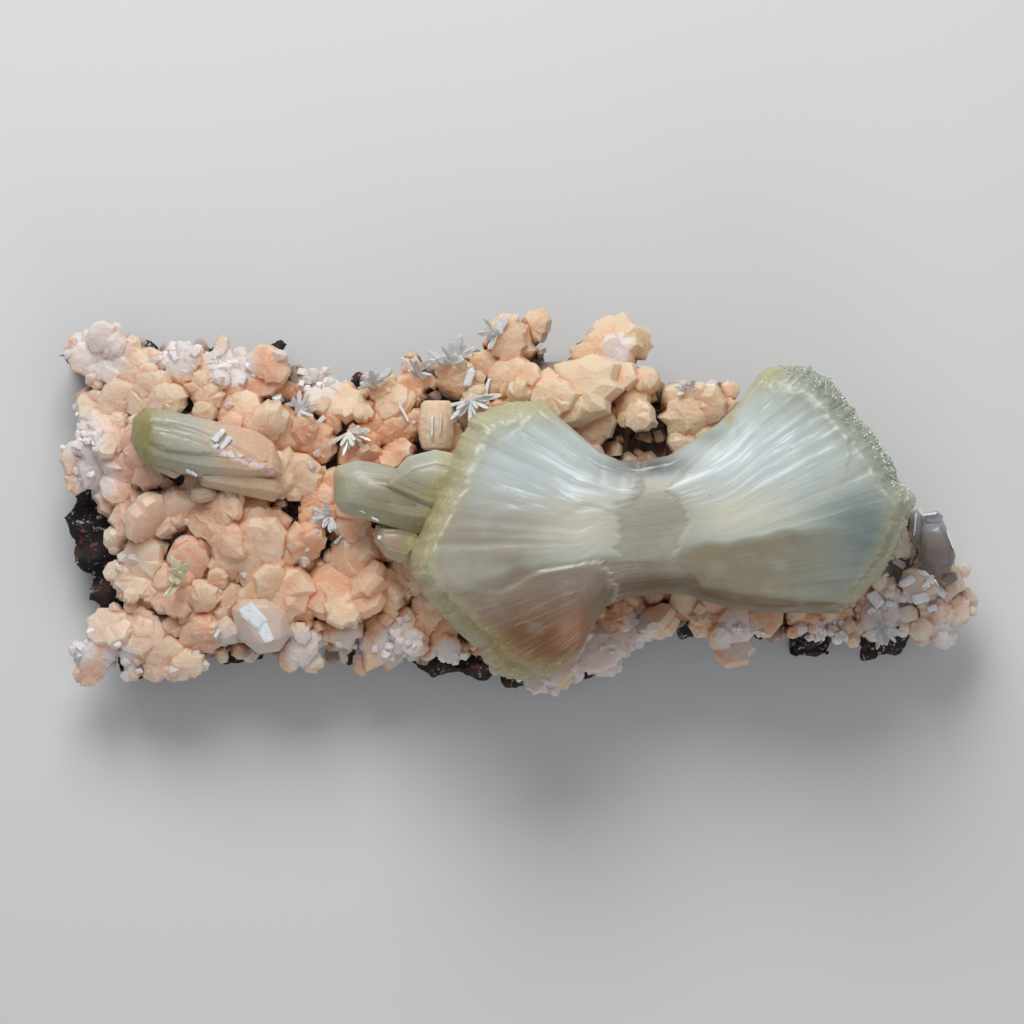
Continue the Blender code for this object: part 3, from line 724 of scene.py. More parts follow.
def paintShades(colours, x, y, z):
    # The soft spots, and the lower side of both fans and of the waist: their tan, olive and brown, darkened
    # with painted shade where they face away from the light
    for px, py, wide, high, name, strength in sheafTints:
        onTop = climb(z, 22.5, 5.0) if name == "yellow" else 1.0
        paint(colours, strength * onTop * spotOf(x, y, px, py, wide, high), name)
    # Painted shade: below the crest, on the side away from the light, the fans are darkened to tan,
    # blue-grey and olive, and the waist's lower side to dark brown
    below = np.clip((crestAt(x) - y) / 1.2 + 0.2, 0, 1)
    deeper = np.clip((crestAt(x) - y) / 9.0, 0, 1)
    onLeft = climb(x, 24.0, -6.0)
    paint(colours, below * (0.5 + 0.5 * deeper) * onLeft, "tan")
    paint(colours, below * 0.4 * (1 - onLeft), "blue")
    paint(colours, below * 0.9 * (1 - onLeft) * climb(x, 46.0, -14.0), "olive")
    paint(colours, climb(y, -8.2, -1.5) * np.exp(-((x - 19.0) / 7.0) ** 2), "low")
    paint(colours, 0.5 * spotOf(x, y, 8.5, -16.5, 2.4, 3.0), "peach")


def paintStreaks(colours, fibre, along, side):
    # The bright streaks, painted highlights of the sheen, uneven along their fibres
    wander = np.array([noiseAt(u * 50.0, a * 0.12, fan) for u, a, fan in zip(fibre, along, side)])
    for fan, middle, wide, start, end, strength in paintedSheenStreaks:
        ends = climb(along, start, 2.0) * climb(along, end, -3.0)
        across = np.exp(-((fibre - middle) / wide) ** 2)
        uneven = np.clip(0.6 + 1.2 * wander, 0, 1)
        paint(colours, strength * (side == fan) * ends * across * uneven, "bright")


def tintSheaf(mesh):
    # Colours the sheaf, with painted shade on its lower side and painted highlights in bright streaks, and
    # leaves the values that its material and its rim tips read
    places, normals = pointPlaces(mesh)
    places = places / mm
    flat = places[:, :2]
    x, y, z = places.T
    fibre = fibreAt(x, y)
    along = np.abs(x - sheaf["waist"].x)
    side = np.where(x < sheaf["waist"].x, -1, 1)
    colours = np.tile(sheafColours["silk"], (len(places), 1))
    paintShades(colours, x, y, z)
    paintStreaks(colours, fibre, along, side)

    depths = sheetDepths(flat)
    bare = -np.max([depths[i][0] for i in (0, 1, 3)], axis=0)
    atWaist = (np.abs(x - 18.6) < 6.5) * (y > -7.2) * (y < 3.2)
    paint(colours, 0.85 * np.clip(bare / 0.4 + 0.5, 0, 1) * atWaist, "waist")
    gap = fibreReach(fibre, side < 0) - along
    rim = climb(gap, 4.8, -3.6) * (gap > -1.6)
    glassy = climb(x, 34.0, 4.0) * climb(y, -1.0, 4.0)
    paint(colours, 0.75 * rim * (1 - 0.75 * glassy), "rim")
    paint(colours, 0.75 * rim * glassy, "glass")
    seam = np.max([np.exp(-(inside / 0.3) ** 2) * np.clip(height * 2.2, 0, 1) for inside, height in depths],
                  axis=0)
    onTop = (normals[:, 2] > 0.1) & (z > sheaf["waist"].z - 2)
    paint(colours, 0.4 * seam * onTop * (1 - rim), "seam")
    # Painted shade, with the brown of the right fan's lower layer: darker under its broken sheet
    outside = -outlineDepths(sheets[3][4], flat)
    paint(colours, 0.8 * climb(outside, 0.2, 0.5) * (y < -9.5) * climb(x, 22.0, 3.0), "low")

    tint = mesh.color_attributes.new("tint", "FLOAT_COLOR", "POINT")
    tint.data.foreach_set("color", np.hstack((colours, np.ones((len(places), 1)))).ravel())
    pointValues(mesh, "fibre", fibre)
    pointValues(mesh, "along", along)
    pointValues(mesh, "rim", rim)
    # Where the painted sheen of the streaks is strongest: the faces that catch the light
    silk = np.max([outlineDepths(face, flat) for face in sheenFaces], axis=0)
    pointValues(mesh, "silk", np.clip(silk / 2.4 + 0.2, 0, 1) * (normals[:, 2] > 0))
    onRight = (x > 30.0) * (np.abs(fibre) < 0.985) * (z > 15.5)
    pointValues(mesh, "grain", np.clip(rim * 4.0 - 3.0, 0, 1) * (0.1 + 0.9 * glassy) * onRight)
    markEdges(mesh, 4, 0.25)


def sheafFinish():
    finish = Finish("silky pale green stilbite", Roughness=0.3, IOR=1.5, Coat_Weight=0.2,
                    Coat_Roughness=0.15, Subsurface_Weight=0.45, Subsurface_Scale=0.001,
                    Subsurface_Radius=(2.2, 2.2, 1.8))
    fibre, along, rim = [finish.attribute(name) for name in ("fibre", "along", "rim")]
    across = fibre * (9 * mm)
    flow, thin = [finish.node("ShaderNodeCombineXYZ", None, {"X": across, "Y": along * (pull * mm)})
                  for pull in (0.06, 0.025)]
    fine = finish.noise(0.16, 6.0, 0.62, flow)
    broad = finish.noise(0.8, 5.0, 0.6, flow)
    streaks = finish.step(finish.noise(0.42, 6.0, 0.65, flow), 0.5, 0.66)
    bundles = finish.step(finish.noise(2.6, 3.0, 0.5), 0.38, 0.62)
    lit = finish.attribute("silk") * (0.25 + 0.75 * bundles)
    tint = finish.attribute("tint", "Color")
    body = finish.mix(finish.step(broad, 0.3, 0.7) * 0.22, tint, (0.9, 0.9, 0.88), "SOFT_LIGHT")
    # Painted sheen: light streaks along the fibres, strongest on the faces that catch the light
    body = finish.mix(streaks * (0.05 + 0.85 * lit), body, (0.90, 0.95, 1.0))
    grains = finish.noise(0.7, 3.0, 0.6)
    body = finish.mix(rim * finish.step(grains, 0.5, 0.75) * 0.5, body, (0.74, 0.72, 0.52))
    clouds = finish.step(finish.noise(4.0, 4.0), 0.45, 0.75)
    body = finish.mix(clouds * 0.14, body, (0.86, 0.86, 0.76))
    gold = finish.step(finish.noise(0.17, 5.0, 0.6, thin), 0.55, 0.68) * finish.step(fibre * -1, 0.15, 0.45)
    onLeft = 1 - finish.step(finish.axis("X"), 14 * mm, 22 * mm)
    body = finish.mix(gold * 0.4 * (1 - rim) * onLeft, body, (0.76, 0.58, 0.36))
    dust = 1 - finish.step(finish.cells(3.4), 0.018, 0.03)
    body = finish.mix(dust * 0.7, body, (0.10, 0.08, 0.06))
    # Lighter raised points on the rim grains: partly paler crystal edges and partly painted highlight
    edge = finish.step(finish.attribute("edge"), 0.56, 0.8)
    body = finish.mix(edge * rim * 0.2, body, (0.74, 0.71, 0.50))
    finish.shade(Base_Color=body, Roughness=0.24 + 0.22 * broad)
    rough = finish.bump(grains, 0.25, 0.35 * rim)
    finish.shade(Normal=finish.bump(fine + 0.7 * broad, 0.11, 0.5, rough))
    return finish


# Tabular crystals: the outline of the edge and its height, the outline of the top face and its height,
# and the height of the underside
sideSlabs = [
    ([(-23.0, 4.2), (-22.5, 5.1), (-19.9, 5.8), (-18.0, 5.6), (-15.4, 4.3), (-8.0, 3.0), (-8.0, -3.4),
      (-12.0, -3.8), (-16.0, -2.5), (-20.3, -1.5), (-22.1, -0.9), (-22.9, 0.5)], 22.6,
     [(-21.4, 3.6), (-19.6, 4.4), (-16.0, 3.2), (-8.0, 2.2), (-8.0, -2.0), (-15.0, -1.0), (-20.8, 0.4)],
     24.8, 19.6),
    ([(-16.8, 2.2), (-15.4, 4.0), (-13.3, 6.3), (-11.4, 6.8), (-9.7, 7.2), (-7.6, 6.8), (-5.0, 5.0),
      (-5.0, -2.0), (-9.0, -1.6), (-12.6, 0.2)], 24.2,
     [(-15.6, 2.6), (-12.6, 4.8), (-9.4, 5.6), (-5.0, 4.4), (-5.0, -0.4), (-10.4, 0.4)], 25.6, 20.0),
    ([(-17.5, -2.6), (-12.4, -2.6), (-10.0, -5.0), (-12.4, -7.2), (-14.4, -7.6), (-16.2, -6.8),
      (-17.8, -4.6)], 20.8,
     [(-16.4, -3.2), (-12.6, -3.2), (-11.6, -5.0), (-13.4, -6.4), (-15.8, -5.8), (-16.8, -4.6)], 22.6, 18.6),
]
freeSlabs = [
    ([(-49.6, 8.5), (-49.3, 11.3), (-47.8, 12.8), (-45.0, 12.4), (-42.7, 11.5), (-39.4, 10.6), (-36.0, 10.1),
      (-32.8, 9.5), (-30.9, 8.2), (-29.8, 5.8), (-29.7, 3.8), (-33.8, 3.2), (-38.0, 3.4), (-41.0, 3.7),
      (-44.2, 4.4), (-48.2, 5.6)], 18.8,
     [(-47.7, 7.6), (-47.5, 10.6), (-46.6, 11.5), (-42.8, 10.5), (-38.4, 8.8), (-34.0, 6.6), (-31.0, 4.9),
      (-34.0, 4.5), (-40.5, 5.2), (-46.6, 6.4)], 21.0, 15.8),
    ([(-47.4, 8.2), (-47.0, 10.7), (-42.6, 9.8), (-38.2, 8.4), (-37.2, 6.8), (-38.4, 6.0), (-45.5, 6.8)],
     20.9,
     [(-46.8, 8.4), (-46.4, 10.1), (-42.6, 9.2), (-38.6, 7.8), (-38.0, 6.9), (-45.0, 7.4)], 21.5, 19.5),
    ([(-41.0, 4.2), (-38.0, 4.8), (-34.0, 4.6), (-30.0, 3.6), (-29.5, 1.4), (-30.9, 0.4), (-35.4, 1.5),
      (-37.7, 2.2), (-40.4, 2.4)], 17.6,
     [(-40.0, 3.8), (-34.0, 3.9), (-30.8, 3.0), (-30.6, 1.8), (-35.4, 2.3), (-39.4, 3.0)], 19.4, 15.2),
    ([(-47.8, 6.3), (-45.0, 5.7), (-42.0, 4.6), (-43.8, 3.4), (-45.9, 4.4), (-47.8, 5.3)], 18.0,
     [(-47.2, 5.9), (-45.0, 5.3), (-43.4, 4.4), (-45.8, 4.9)], 18.9, 16.2),
    ([(-37.3, 2.6), (-35.6, 2.3), (-35.1, -0.4), (-35.3, -1.2), (-36.2, -1.1), (-36.7, 0.2)], 16.8,
     [(-36.9, 2.4), (-36.0, 2.3), (-35.5, -0.4), (-36.1, -0.6)], 17.6, 15.2),
    ([(-41.8, 2.2), (-39.6, 2.8), (-38.2, 1.6), (-38.8, 0.6), (-40.4, 0.2), (-41.9, 0.6)], 16.8,
     [(-41.2, 1.8), (-39.6, 2.2), (-39.0, 1.4), (-40.4, 0.8)], 17.7, 15.2),
]
plateSlabs = [
    ([(53.7, -3.2), (54.2, -2.0), (56.8, -2.0), (57.8, -4.2), (58.5, -6.8), (57.6, -8.9), (55.4, -9.4),
      (53.6, -7.4)], 15.4,
     [(54.6, -3.6), (56.2, -2.8), (57.2, -5.0), (57.6, -7.4), (55.8, -8.2), (54.4, -6.8)], 17.2, 12.6),
    ([(52.6, -0.8), (53.4, -0.5), (54.1, -1.6), (53.9, -5.0), (53.0, -5.6), (52.4, -3.0)], 16.0,
     [(52.9, -1.2), (53.6, -1.2), (53.6, -4.4), (52.8, -4.8)], 16.8, 12.8),
    ([(54.2, -2.4), (54.3, -1.1), (56.0, -0.7), (56.8, -1.4), (56.6, -2.7)], 15.6,
     [(54.7, -2.2), (54.8, -1.4), (56.2, -1.2), (56.2, -2.4)], 16.4, 12.8),
    ([(56.9, -8.4), (58.7, -8.8), (58.9, -9.8), (57.8, -10.6), (56.6, -9.9)], 14.2,
     [(57.3, -8.9), (58.3, -9.1), (57.8, -10.0), (57.0, -9.6)], 15.2, 12.6),
]
blockSlabs = [
    ([(-36.6, -13.6), (-35.4, -12.4), (-32.0, -12.2), (-29.4, -13.8), (-28.6, -16.8), (-30.2, -19.2),
      (-33.0, -19.6), (-35.8, -17.4)], 15.4,
     [(-35.4, -14.0), (-34.4, -13.2), (-31.6, -13.2), (-30.0, -15.0), (-30.0, -17.4), (-32.6, -18.2)],
     17.5, 12.6),
    ([(-38.6, -15.4), (-37.2, -14.4), (-35.4, -16.0), (-35.8, -18.2), (-37.6, -18.4), (-38.8, -17.2)], 14.6,
     [(-37.8, -16.0), (-36.6, -15.6), (-36.2, -17.0), (-37.4, -17.6)], 16.0, 12.6),
]


def slabShell(slab, grow=1.0, lift=0.0, bevel=0.1):
    # A crystal through the outlines of a slab, or one grown on it that is smaller and stands higher
    edge, edgeHeight, top, topHeight, bottom = slab
    middle = sum((Vector(corner) for corner in top), Vector((0, 0))) / len(top)
    corners = []
    for outline, height, share in ((edge, edgeHeight + lift, grow), (top, topHeight + lift, grow),
                                   (edge, bottom, 0.86 * grow)):
        for corner in outline:
            corners.append(Vector((*(middle + (Vector(corner) - middle) * share), height)))
    return hullShell(corners, bevel)


def slabShells(slabs, seed, grownCount):
    # Each slab, with smaller ones grown on it
    draw = random.Random(seed)
    shells = []
    for slab in slabs:
        shells.append(slabShell(slab))
        for _ in range(grownCount):
            edge, edgeHeight, top, topHeight, bottom = slab
            shift = Vector((draw.uniform(-0.9, 0.9), draw.uniform(-0.6, 0.6)))
            moved = [[(x + shift.x, y + shift.y + draw.uniform(-0.1, 0.1)) for x, y in outline]
                     for outline in (edge, top)]
            grown = (moved[0], edgeHeight, moved[1], topHeight, bottom + 0.2)
            shells.append(slabShell(grown, draw.uniform(0.5, 0.85), draw.uniform(0.03, 0.18), 0.06))
    return shells


# The small tips on the right fan's rim; their corners are in crystal sizes, and the sizes here in metres
rimTips = {
    "shape": [(-0.24, -0.1, -0.5), (0.24, -0.1, -0.5), (0.24, 0.1, -0.5), (-0.24, 0.1, -0.5),
              (-0.3, -0.12, 0.25), (0.3, -0.12, 0.25), (0.3, 0.12, 0.25), (-0.3, 0.12, 0.25),
              (-0.1, 0.0, 0.5), (0.14, 0.0, 0.46)],
    "where": "grain",     # the attribute that says where they stand
    "density": 3.6e6,     # to the square metre
    "smallest": 0.0003,
    "largest": 0.0006,
    "tilt": 0.5,
    "seed": 4,
}


def rimFinish():
    finish = Finish("glassy green crystal tips", Roughness=0.25, IOR=1.5, Transmission_Weight=0.08)
    finish.shade(Base_Color=finish.mix(finish.attribute("tone"), (0.56, 0.60, 0.49), (0.78, 0.83, 0.74)))
    return finish


def buildSheaf():
    piece = fuse("double_sheaf", [sheafShell()] + slabShells(sideSlabs, 3, 3))
    tintSheaf(piece.data)
    softEdges(piece, 38)
    dress(piece, sheafFinish(), "stilbite_bow_tie")
    print("double sheaf:", len(piece.data.polygons), "faces")
    scatter("sheaf_rim_tips", piece, rimTips, rimFinish())


# The crust

crust = {
    "floor": 7.5,
    "coreTop": 10.8,
    "coreBevel": 1.2,     # the core is widest this far above its floor
    "coreInsets": (2.4, 1.6, 3.0),  # inside the outline: at its floor, where it is widest and at its top
    "middle": 12.6,       # the height of the crystals, and how much less it is at the edge
    "edgeDrop": 2.6,
    "halfLength": 59.0,
    "halfWidth": 24.0,
    "sunk": 0.2,          # the share of a block's length that is below the crust's height
    "lean": (56, 0.38),   # how far every plate leans, and the share of its block's own lean
    "thinner": 0.72,      # how thick each plate is, next to its block in the solid
    "grownCount": (4, 7),
    "grownShare": (0.35, 0.88),
    "corners": (13, 19),  # round the rim of each plate
    "dome": 0.07,
    "chipCount": 1200,
    "chipLength": (1.2, 3.2),
    "rimCount": 330,
    "rimLength": (1.2, 3.4),
    "bareRock": ((-60.0, -48.0), (-13.5, 2.5)),  # x and y where the rock looks out, with no rim crystals
    "fillers": 84,        # blocks without a place of their own
    "fillerLength": (3.6, 6.4),
    "fillerSpacing": (2.8, 4.4),
    "fillerShape": (0.85, 0.68),
    "fillerSunk": 0.3,
    "split": -6.0,        # where the two meshes of the crust meet, under the sheaf's left edge
}

crustOutline = [
    (-56.0, 21.5), (-52.5, 23.0), (-46.5, 19.5), (-39.0, 20.0), (-33.0, 17.5), (-25.0, 16.0),
    (-16.0, 16.5), (-8.0, 19.5), (-1.0, 22.0), (5.0, 20.5), (14.0, 20.5), (18.0, 15.5),
    (24.0, 13.5), (29.0, 14.0), (36.0, 9.0), (46.0, 3.5), (54.0, -1.5), (57.5, -9.0),
    (58.0, -15.0), (51.0, -17.0), (44.0, -17.5), (36.0, -15.0), (30.0, -17.5), (24.0, -13.5),
    (15.0, -17.5), (6.0, -22.5), (-3.0, -20.0), (-12.0, -19.5), (-20.0, -18.5), (-27.0, -20.0),
    (-36.0, -18.5), (-46.0, -21.0), (-55.5, -20.5), (-52.0, -15.0), (-50.5, -8.5), (-53.0, -1.0),
    (-56.5, 6.0), (-55.0, 13.0),
]

# Broad rises and hollows of the crust: x, y, radius and rise
swells = [
    (-38.0, 2.0, 20.0, 2.6), (10.0, 16.0, 10.0, 5.0), (-24.0, -8.0, 14.0, 2.2), (-44.0, 16.0, 10.0, 1.5),
    (19.0, -4.0, 12.0, -3.0), (52.0, -8.0, 7.0, 2.5), (-9.6, 10.4, 3.2, 2.2), (24.0, 12.0, 6.0, 2.5),
    (-6.0, 12.0, 8.0, 1.5), (28.0, -15.0, 6.0, 1.5), (38.0, -4.0, 14.0, -1.5), (4.0, -6.0, 12.0, -1.5),
]

# Blocks with a place of their own: x, y, length, width, thickness, turn and lean
blocks = [
    (-53.5, 20.8, 6.5, 5.5, 4.2, 20, 60), (-49.4, 18.2, 8.5, 5.2, 4.0, -40, 75),
    (-51.5, 14.0, 6.5, 5.5, 4.5, 60, 50), (-46.5, 15.0, 6.5, 6.2, 5.0, 10, 40),
    (-43.0, 18.0, 5.0, 4.5, 3.5, 70, 55), (-40.2, 18.0, 5.5, 4.5, 3.6, -20, 50),
    (-39.5, 14.2, 5.0, 4.4, 3.6, 35, 35), (-34.5, 16.6, 8.0, 6.5, 5.0, 15, 62),
    (-35.6, 12.4, 7.5, 6.5, 5.0, -30, 48), (-31.0, 9.0, 9.5, 8.0, 5.5, 55, 55),
    (-28.4, 4.0, 8.0, 6.5, 5.0, 5, 60), (-52.2, 10.0, 9.0, 7.5, 5.5, -60, 52),
    (-54.6, 5.5, 7.0, 5.5, 4.5, 80, 65), (-49.0, 4.6, 8.5, 7.0, 5.0, 25, 45),
    (-48.8, -1.6, 8.6, 7.0, 5.4, -15, 58), (-44.6, -0.8, 8.0, 6.8, 5.0, 40, 42),
    (-48.0, -7.0, 7.6, 6.4, 4.8, 75, 60), (-49.2, -10.2, 5.6, 5.0, 4.2, 0, 65),
    (-45.2, -11.4, 7.5, 6.0, 4.8, -35, 50), (-42.2, -7.0, 6.4, 5.6, 4.6, 62, 44),
    (-39.4, -2.0, 6.6, 5.6, 4.4, 12, 35), (-35.0, -1.4, 9.5, 6.8, 5.0, -25, 64),
    (-35.6, -6.0, 10.0, 8.0, 5.8, 48, 48), (-32.2, -8.6, 8.0, 6.6, 5.0, 85, 55),
    (-29.2, -11.8, 9.5, 7.4, 5.2, 30, 60), (-22.8, -11.0, 11.0, 8.6, 5.8, 8, 50),
    (-20.6, -7.2, 7.0, 5.6, 4.6, -55, 42), (-27.0, -4.6, 6.5, 5.4, 4.2, 65, 38),
    (-22.0, -15.2, 8.0, 6.6, 5.0, 90, 62), (-16.2, -12.4, 5.0, 4.6, 4.4, 15, 25),
    (-14.2, -15.6, 5.2, 4.6, 4.0, -10, 30), (-17.6, -17.8, 8.5, 4.6, 3.8, 80, 74),
    (-40.4, -16.8, 7.5, 6.0, 4.8, 20, 58), (-49.2, -16.8, 9.0, 7.0, 5.2, -20, 55),
    (-54.4, -19.6, 6.4, 4.6, 3.8, 50, 70), (-45.4, -19.4, 6.2, 5.2, 4.2, 0, 62),
    (-15.4, 13.4, 6.2, 5.2, 4.2, 30, 45),
    (-22.2, 13.2, 7.0, 5.6, 4.4, -15, 55), (-25.8, 8.6, 6.0, 5.0, 4.2, 45, 40),
    (-20.0, 6.4, 6.4, 5.4, 4.4, 75, 48), (-14.6, 7.0, 5.0, 4.2, 3.6, 10, 38),
    (0.6, 20.4, 7.5, 5.6, 4.4, 70, 60), (0.2, 16.6, 7.4, 6.4, 4.8, 20, 45),
    (5.0, 15.2, 6.0, 5.0, 4.4, -30, 40), (9.6, 15.0, 12.0, 9.5, 6.0, 25, 52),
    (13.2, 19.4, 7.0, 6.4, 4.8, 80, 48), (15.6, 14.2, 6.4, 5.2, 4.4, -10, 58),
    (11.4, 10.4, 6.5, 5.0, 4.0, 50, 50), (23.4, 11.8, 7.4, 6.2, 4.6, 15, 50),
    (27.6, 13.4, 5.0, 4.4, 3.6, -45, 50), (51.6, -5.2, 4.2, 2.8, 2.6, 80, 50),
    (49.6, -11.2, 3.8, 2.8, 2.6, 85, 55), (48.9, -14.2, 6.6, 5.4, 4.0, 60, 60),
    (56.4, -14.6, 6.2, 4.6, 3.8, 100, 62), (59.0, -14.4, 3.8, 3.2, 2.6, -20, 65),
    (53.2, -10.0, 4.4, 3.6, 3.0, 30, 50), (-27.1, -18.6, 5.2, 4.2, 3.8, 80, 50),
    (-25.0, 0.6, 5.6, 4.6, 3.8, 40, 50), (-21.0, -2.6, 6.0, 4.6, 3.8, -30, 55),
    (-16.4, -5.6, 5.4, 4.4, 3.6, 20, 60), (-12.6, -9.6, 5.2, 4.2, 3.4, 70, 60),
    (-10.6, -13.4, 5.2, 4.2, 3.4, 0, 55), (-9.0, -17.0, 5.6, 4.4, 3.4, 60, 60),
    (-14.6, 10.2, 5.4, 4.4, 3.8, 30, 60), (-40.2, -11.6, 5.6, 4.8, 3.8, 10, 60),
    (12.2, -18.8, 8.0, 6.0, 4.4, 35, 66), (6.4, -21.8, 5.0, 4.2, 3.4, 60, 60),
    (30.0, -15.4, 6.8, 5.4, 4.0, 50, 64), (19.5, -15.6, 6.0, 4.8, 4.0, 10, 60),
]

# Where the crust's edge is white: x, y, radius and how thickly small crystals cover it
whitePlaces = [
    (-56.5, 9.0, 3.6, 1.0), (-54.5, 3.6, 3.0, 0.8), (-57.0, -18.5, 2.8, 0.6), (-51.5, -20.5, 2.6, 0.5),
    (-54.0, 20.5, 4.2, 0.0), (-43.5, 19.4, 2.6, 0.8), (-36.5, 18.8, 3.4, 0.6), (-25.0, 16.4, 2.8, 0.8),
    (-27.1, -19.0, 3.0, 0.0), (-21.0, -18.6, 2.2, 0.6), (-14.5, -18.6, 3.4, 0.7), (-8.0, -20.0, 2.6, 0.7),
    (4.0, -22.5, 3.0, 0.6), (12.0, -20.5, 4.6, 0.25), (17.0, -16.5, 2.6, 0.5), (30.0, -17.4, 3.2, 0.15),
    (42.0, -17.6, 2.6, 0.8), (49.4, -15.6, 3.2, 0.1), (57.5, -17.0, 2.2, 0.3), (14.0, 20.5, 2.2, 0.0),
    (51.0, -12.8, 2.0, 0.2),
]

# How far along a small crystal each section lies, and its half width there
crystalEnds = ((-0.5, 0.26), (-0.2, 0.5), (0.2, 0.5), (0.5, 0.26))


def crustHeight(x, y):
    edge = max(abs(x) / crust["halfLength"], abs(y) / crust["halfWidth"])
    height = crust["middle"] - crust["edgeDrop"] * edge ** 4
    for sx, sy, radius, rise in swells:
        height += rise * math.exp(-2 * ((x - sx) ** 2 + (y - sy) ** 2) / radius ** 2)
    return height


def insideOutline(outline, x, y):
    crossings = False
    for (ax, ay), (bx, by) in zip(outline, outline[1:] + outline[:1]):
        if (ay > y) != (by > y) and x < (bx - ax) * (y - ay) / (by - ay) + ax:
            crossings = not crossings
    return crossings


def turned(degrees, axis):
    return Matrix.Rotation(math.radians(degrees), 4, axis)


def crystalFrame(x, y, z, turn, lean):
    return Matrix.Translation((x, y, z)) @ turned(turn, "Z") @ turned(lean, "Y")


def coffinReach(angle, width, length):
    # How far a coffin-shaped outline reaches in this direction
    across, along = abs(math.cos(angle)) / (width / 2), abs(math.sin(angle)) / (length / 2)
    return min(1 / max(across, 1e-6), 1 / max(along, 1e-6), 1.42 / (across + along))


def plateCorners(length, width, thickness, draw):
    # The rings of a coffin-shaped plate whose rim is broken into uneven teeth
    count = draw.randint(*crust["corners"])
    rim = []
    for i in range(count):
        angle = (i + draw.uniform(-0.35, 0.35)) * math.tau / count
        notch = draw.uniform(0.0, 0.2) if i % 2 else draw.uniform(-0.05, 0.05)
        reach = (1 - notch) * coffinReach(angle, width, length)
        rim.append((math.cos(angle) * reach, math.sin(angle) * reach))
    rings = []
    top = 0.5 + draw.uniform(0.3, 1.0) * crust["dome"] * width / thickness
    for level, share, uneven in ((-0.5, 0.8, 0.02), (0.1, 1.0, 0.0), (0.44, 0.9, 0.03), (top, 0.5, 0.12)):
        ring = []
        for x, z in rim:
            ring.append(Vector((x * share * draw.gauss(1, uneven),
                                level * thickness * draw.gauss(1, 0.4 * uneven),
                                z * share * draw.gauss(1, uneven))))
        rings.append(ring)
    return rings


# The one rounded, barrel-like crystal, which lies along y
barrel = {
    "middle": Vector((-9.6, 10.4, 15.2)),
    "radius": 2.5,
    "sides": 12,
    # how far along it each ring lies, and the share of the radius there
    "rings": ((-3.2, 0.62), (-2.9, 0.8), (-1.6, 0.95), (0.0, 1.0), (1.6, 0.95), (2.9, 0.82), (3.3, 0.66)),
    "tone": 0.3,
}


def barrelShell():
    corners = []
    for along, share in barrel["rings"]:
        radius = barrel["radius"] * share
        for i in range(barrel["sides"]):
            turn = i * math.tau / barrel["sides"]
            spot = Vector((radius * math.cos(turn), along, radius * math.sin(turn)))
            corners.append(barrel["middle"] + spot)
    return hullShell(corners)


class CrystalHeap:
    # Closed shells on their way to being one mesh, with the tone of each crystal
    def __init__(self):
        self.shells = []
        self.tones = []

    def keep(self, shell, tone):
        places = [corner.co / mm for corner in shell.verts]
        low = [min(place[i] for place in places) for i in range(3)]
        high = [max(place[i] for place in places) for i in range(3)]
        self.shells.append((low, high, shell))
        self.tones += [(place, tone) for place in places]

    def add(self, place, length, width, thickness, draw, tone):
        # A small crystal with uneven corners
        corners = []
        for face, share in ((-0.5, 0.9), (0.1, 1.0), (0.5, 0.7)):
            for along, across in crystalEnds:
                for side in (-1, 1):
                    corners.append(place @ Vector((side * across * width * share * draw.uniform(0.93, 1.04),
                                                   face * thickness,
                                                   along * length * share * draw.uniform(0.93, 1.04))))
        shell = hullShell(corners)
        if closed(shell):
            self.keep(shell, tone)
        else:
            shell.free()

    def addPlate(self, place, length, width, thickness, draw, tone):
        # A plate of rings, closed by a point below and one above
        rings = plateCorners(length, width, thickness, draw)
        shell = bmesh.new()
        loops = [[shell.verts.new((place @ corner) * mm) for corner in ring] for ring in rings]
        under = shell.verts.new((place @ Vector((0, -0.52 * thickness, 0))) * mm)
        middle = sum(rings[-1], Vector()) / len(rings[-1])
        over = shell.verts.new((place @ (middle + Vector((0, draw.uniform(0.0, 0.2), 0)))) * mm)
        count = len(rings[0])
        for i in range(count):
            k = (i + 1) % count
            shell.faces.new((under, loops[0][i], loops[0][k]))
            shell.faces.new((over, loops[-1][k], loops[-1][i]))
            for below, above in zip(loops, loops[1:]):
                shell.faces.new((below[i], above[i], above[k], below[k]))
        self.keep(settleFaces(shell), tone)

    def addGrown(self, place, length, width, thickness, draw):
        # A plate lying on its broad face, and the smaller ones that grew on it nearly parallel to it
        tone = draw.random()
        place = place @ turned(90 + draw.gauss(0, 18), "Z")
        if (place.to_3x3() @ Vector((0, 1, 0))).z < 0:
            place = place @ Matrix.Rotation(math.pi, 4, "Z")
        thickness *= crust["thinner"]
        self.addPlate(place, length, width, thickness, draw, tone)
        for _ in range(draw.randint(*crust["grownCount"])):
            share = draw.uniform(*crust["grownShare"])
            slide = Matrix.Translation((draw.uniform(-0.5, 0.5) * width,
                                        draw.uniform(-0.6, 0.45) * thickness,
                                        draw.uniform(-0.5, 0.5) * length))
            skew = (turned(draw.gauss(0, 11), "X") @ turned(draw.gauss(0, 24), "Y")
                    @ turned(draw.gauss(0, 11), "Z"))
            self.addPlate(place @ slide @ skew, share * length * draw.uniform(0.8, 1.2), share * width,
                          (0.4 + 0.6 * share) * thickness * draw.uniform(0.7, 1.2), draw,
                          min(1.0, max(0.0, tone + draw.gauss(0, 0.15))))

    def layers(self):
        # Spreads the shells over meshes in which no two can touch
        layers = []
        for low, high, shell in self.shells:
            for layer in layers:
                if all(any(low[i] > otherHigh[i] or high[i] < otherLow[i] for i in range(3))
                       for otherLow, otherHigh, _ in layer):
                    layer.append((low, high, shell))
                    break
            else:
                layers.append([(low, high, shell)])
        return [joinShells([shell for _, _, shell in layer]) for layer in layers]

    def toneMap(self):
        # A tree that finds the crystal corner nearest to a place
        tree = KDTree(len(self.tones))
        for i, (corner, _) in enumerate(self.tones):
            tree.insert(corner, i)
        tree.balance()
        return tree


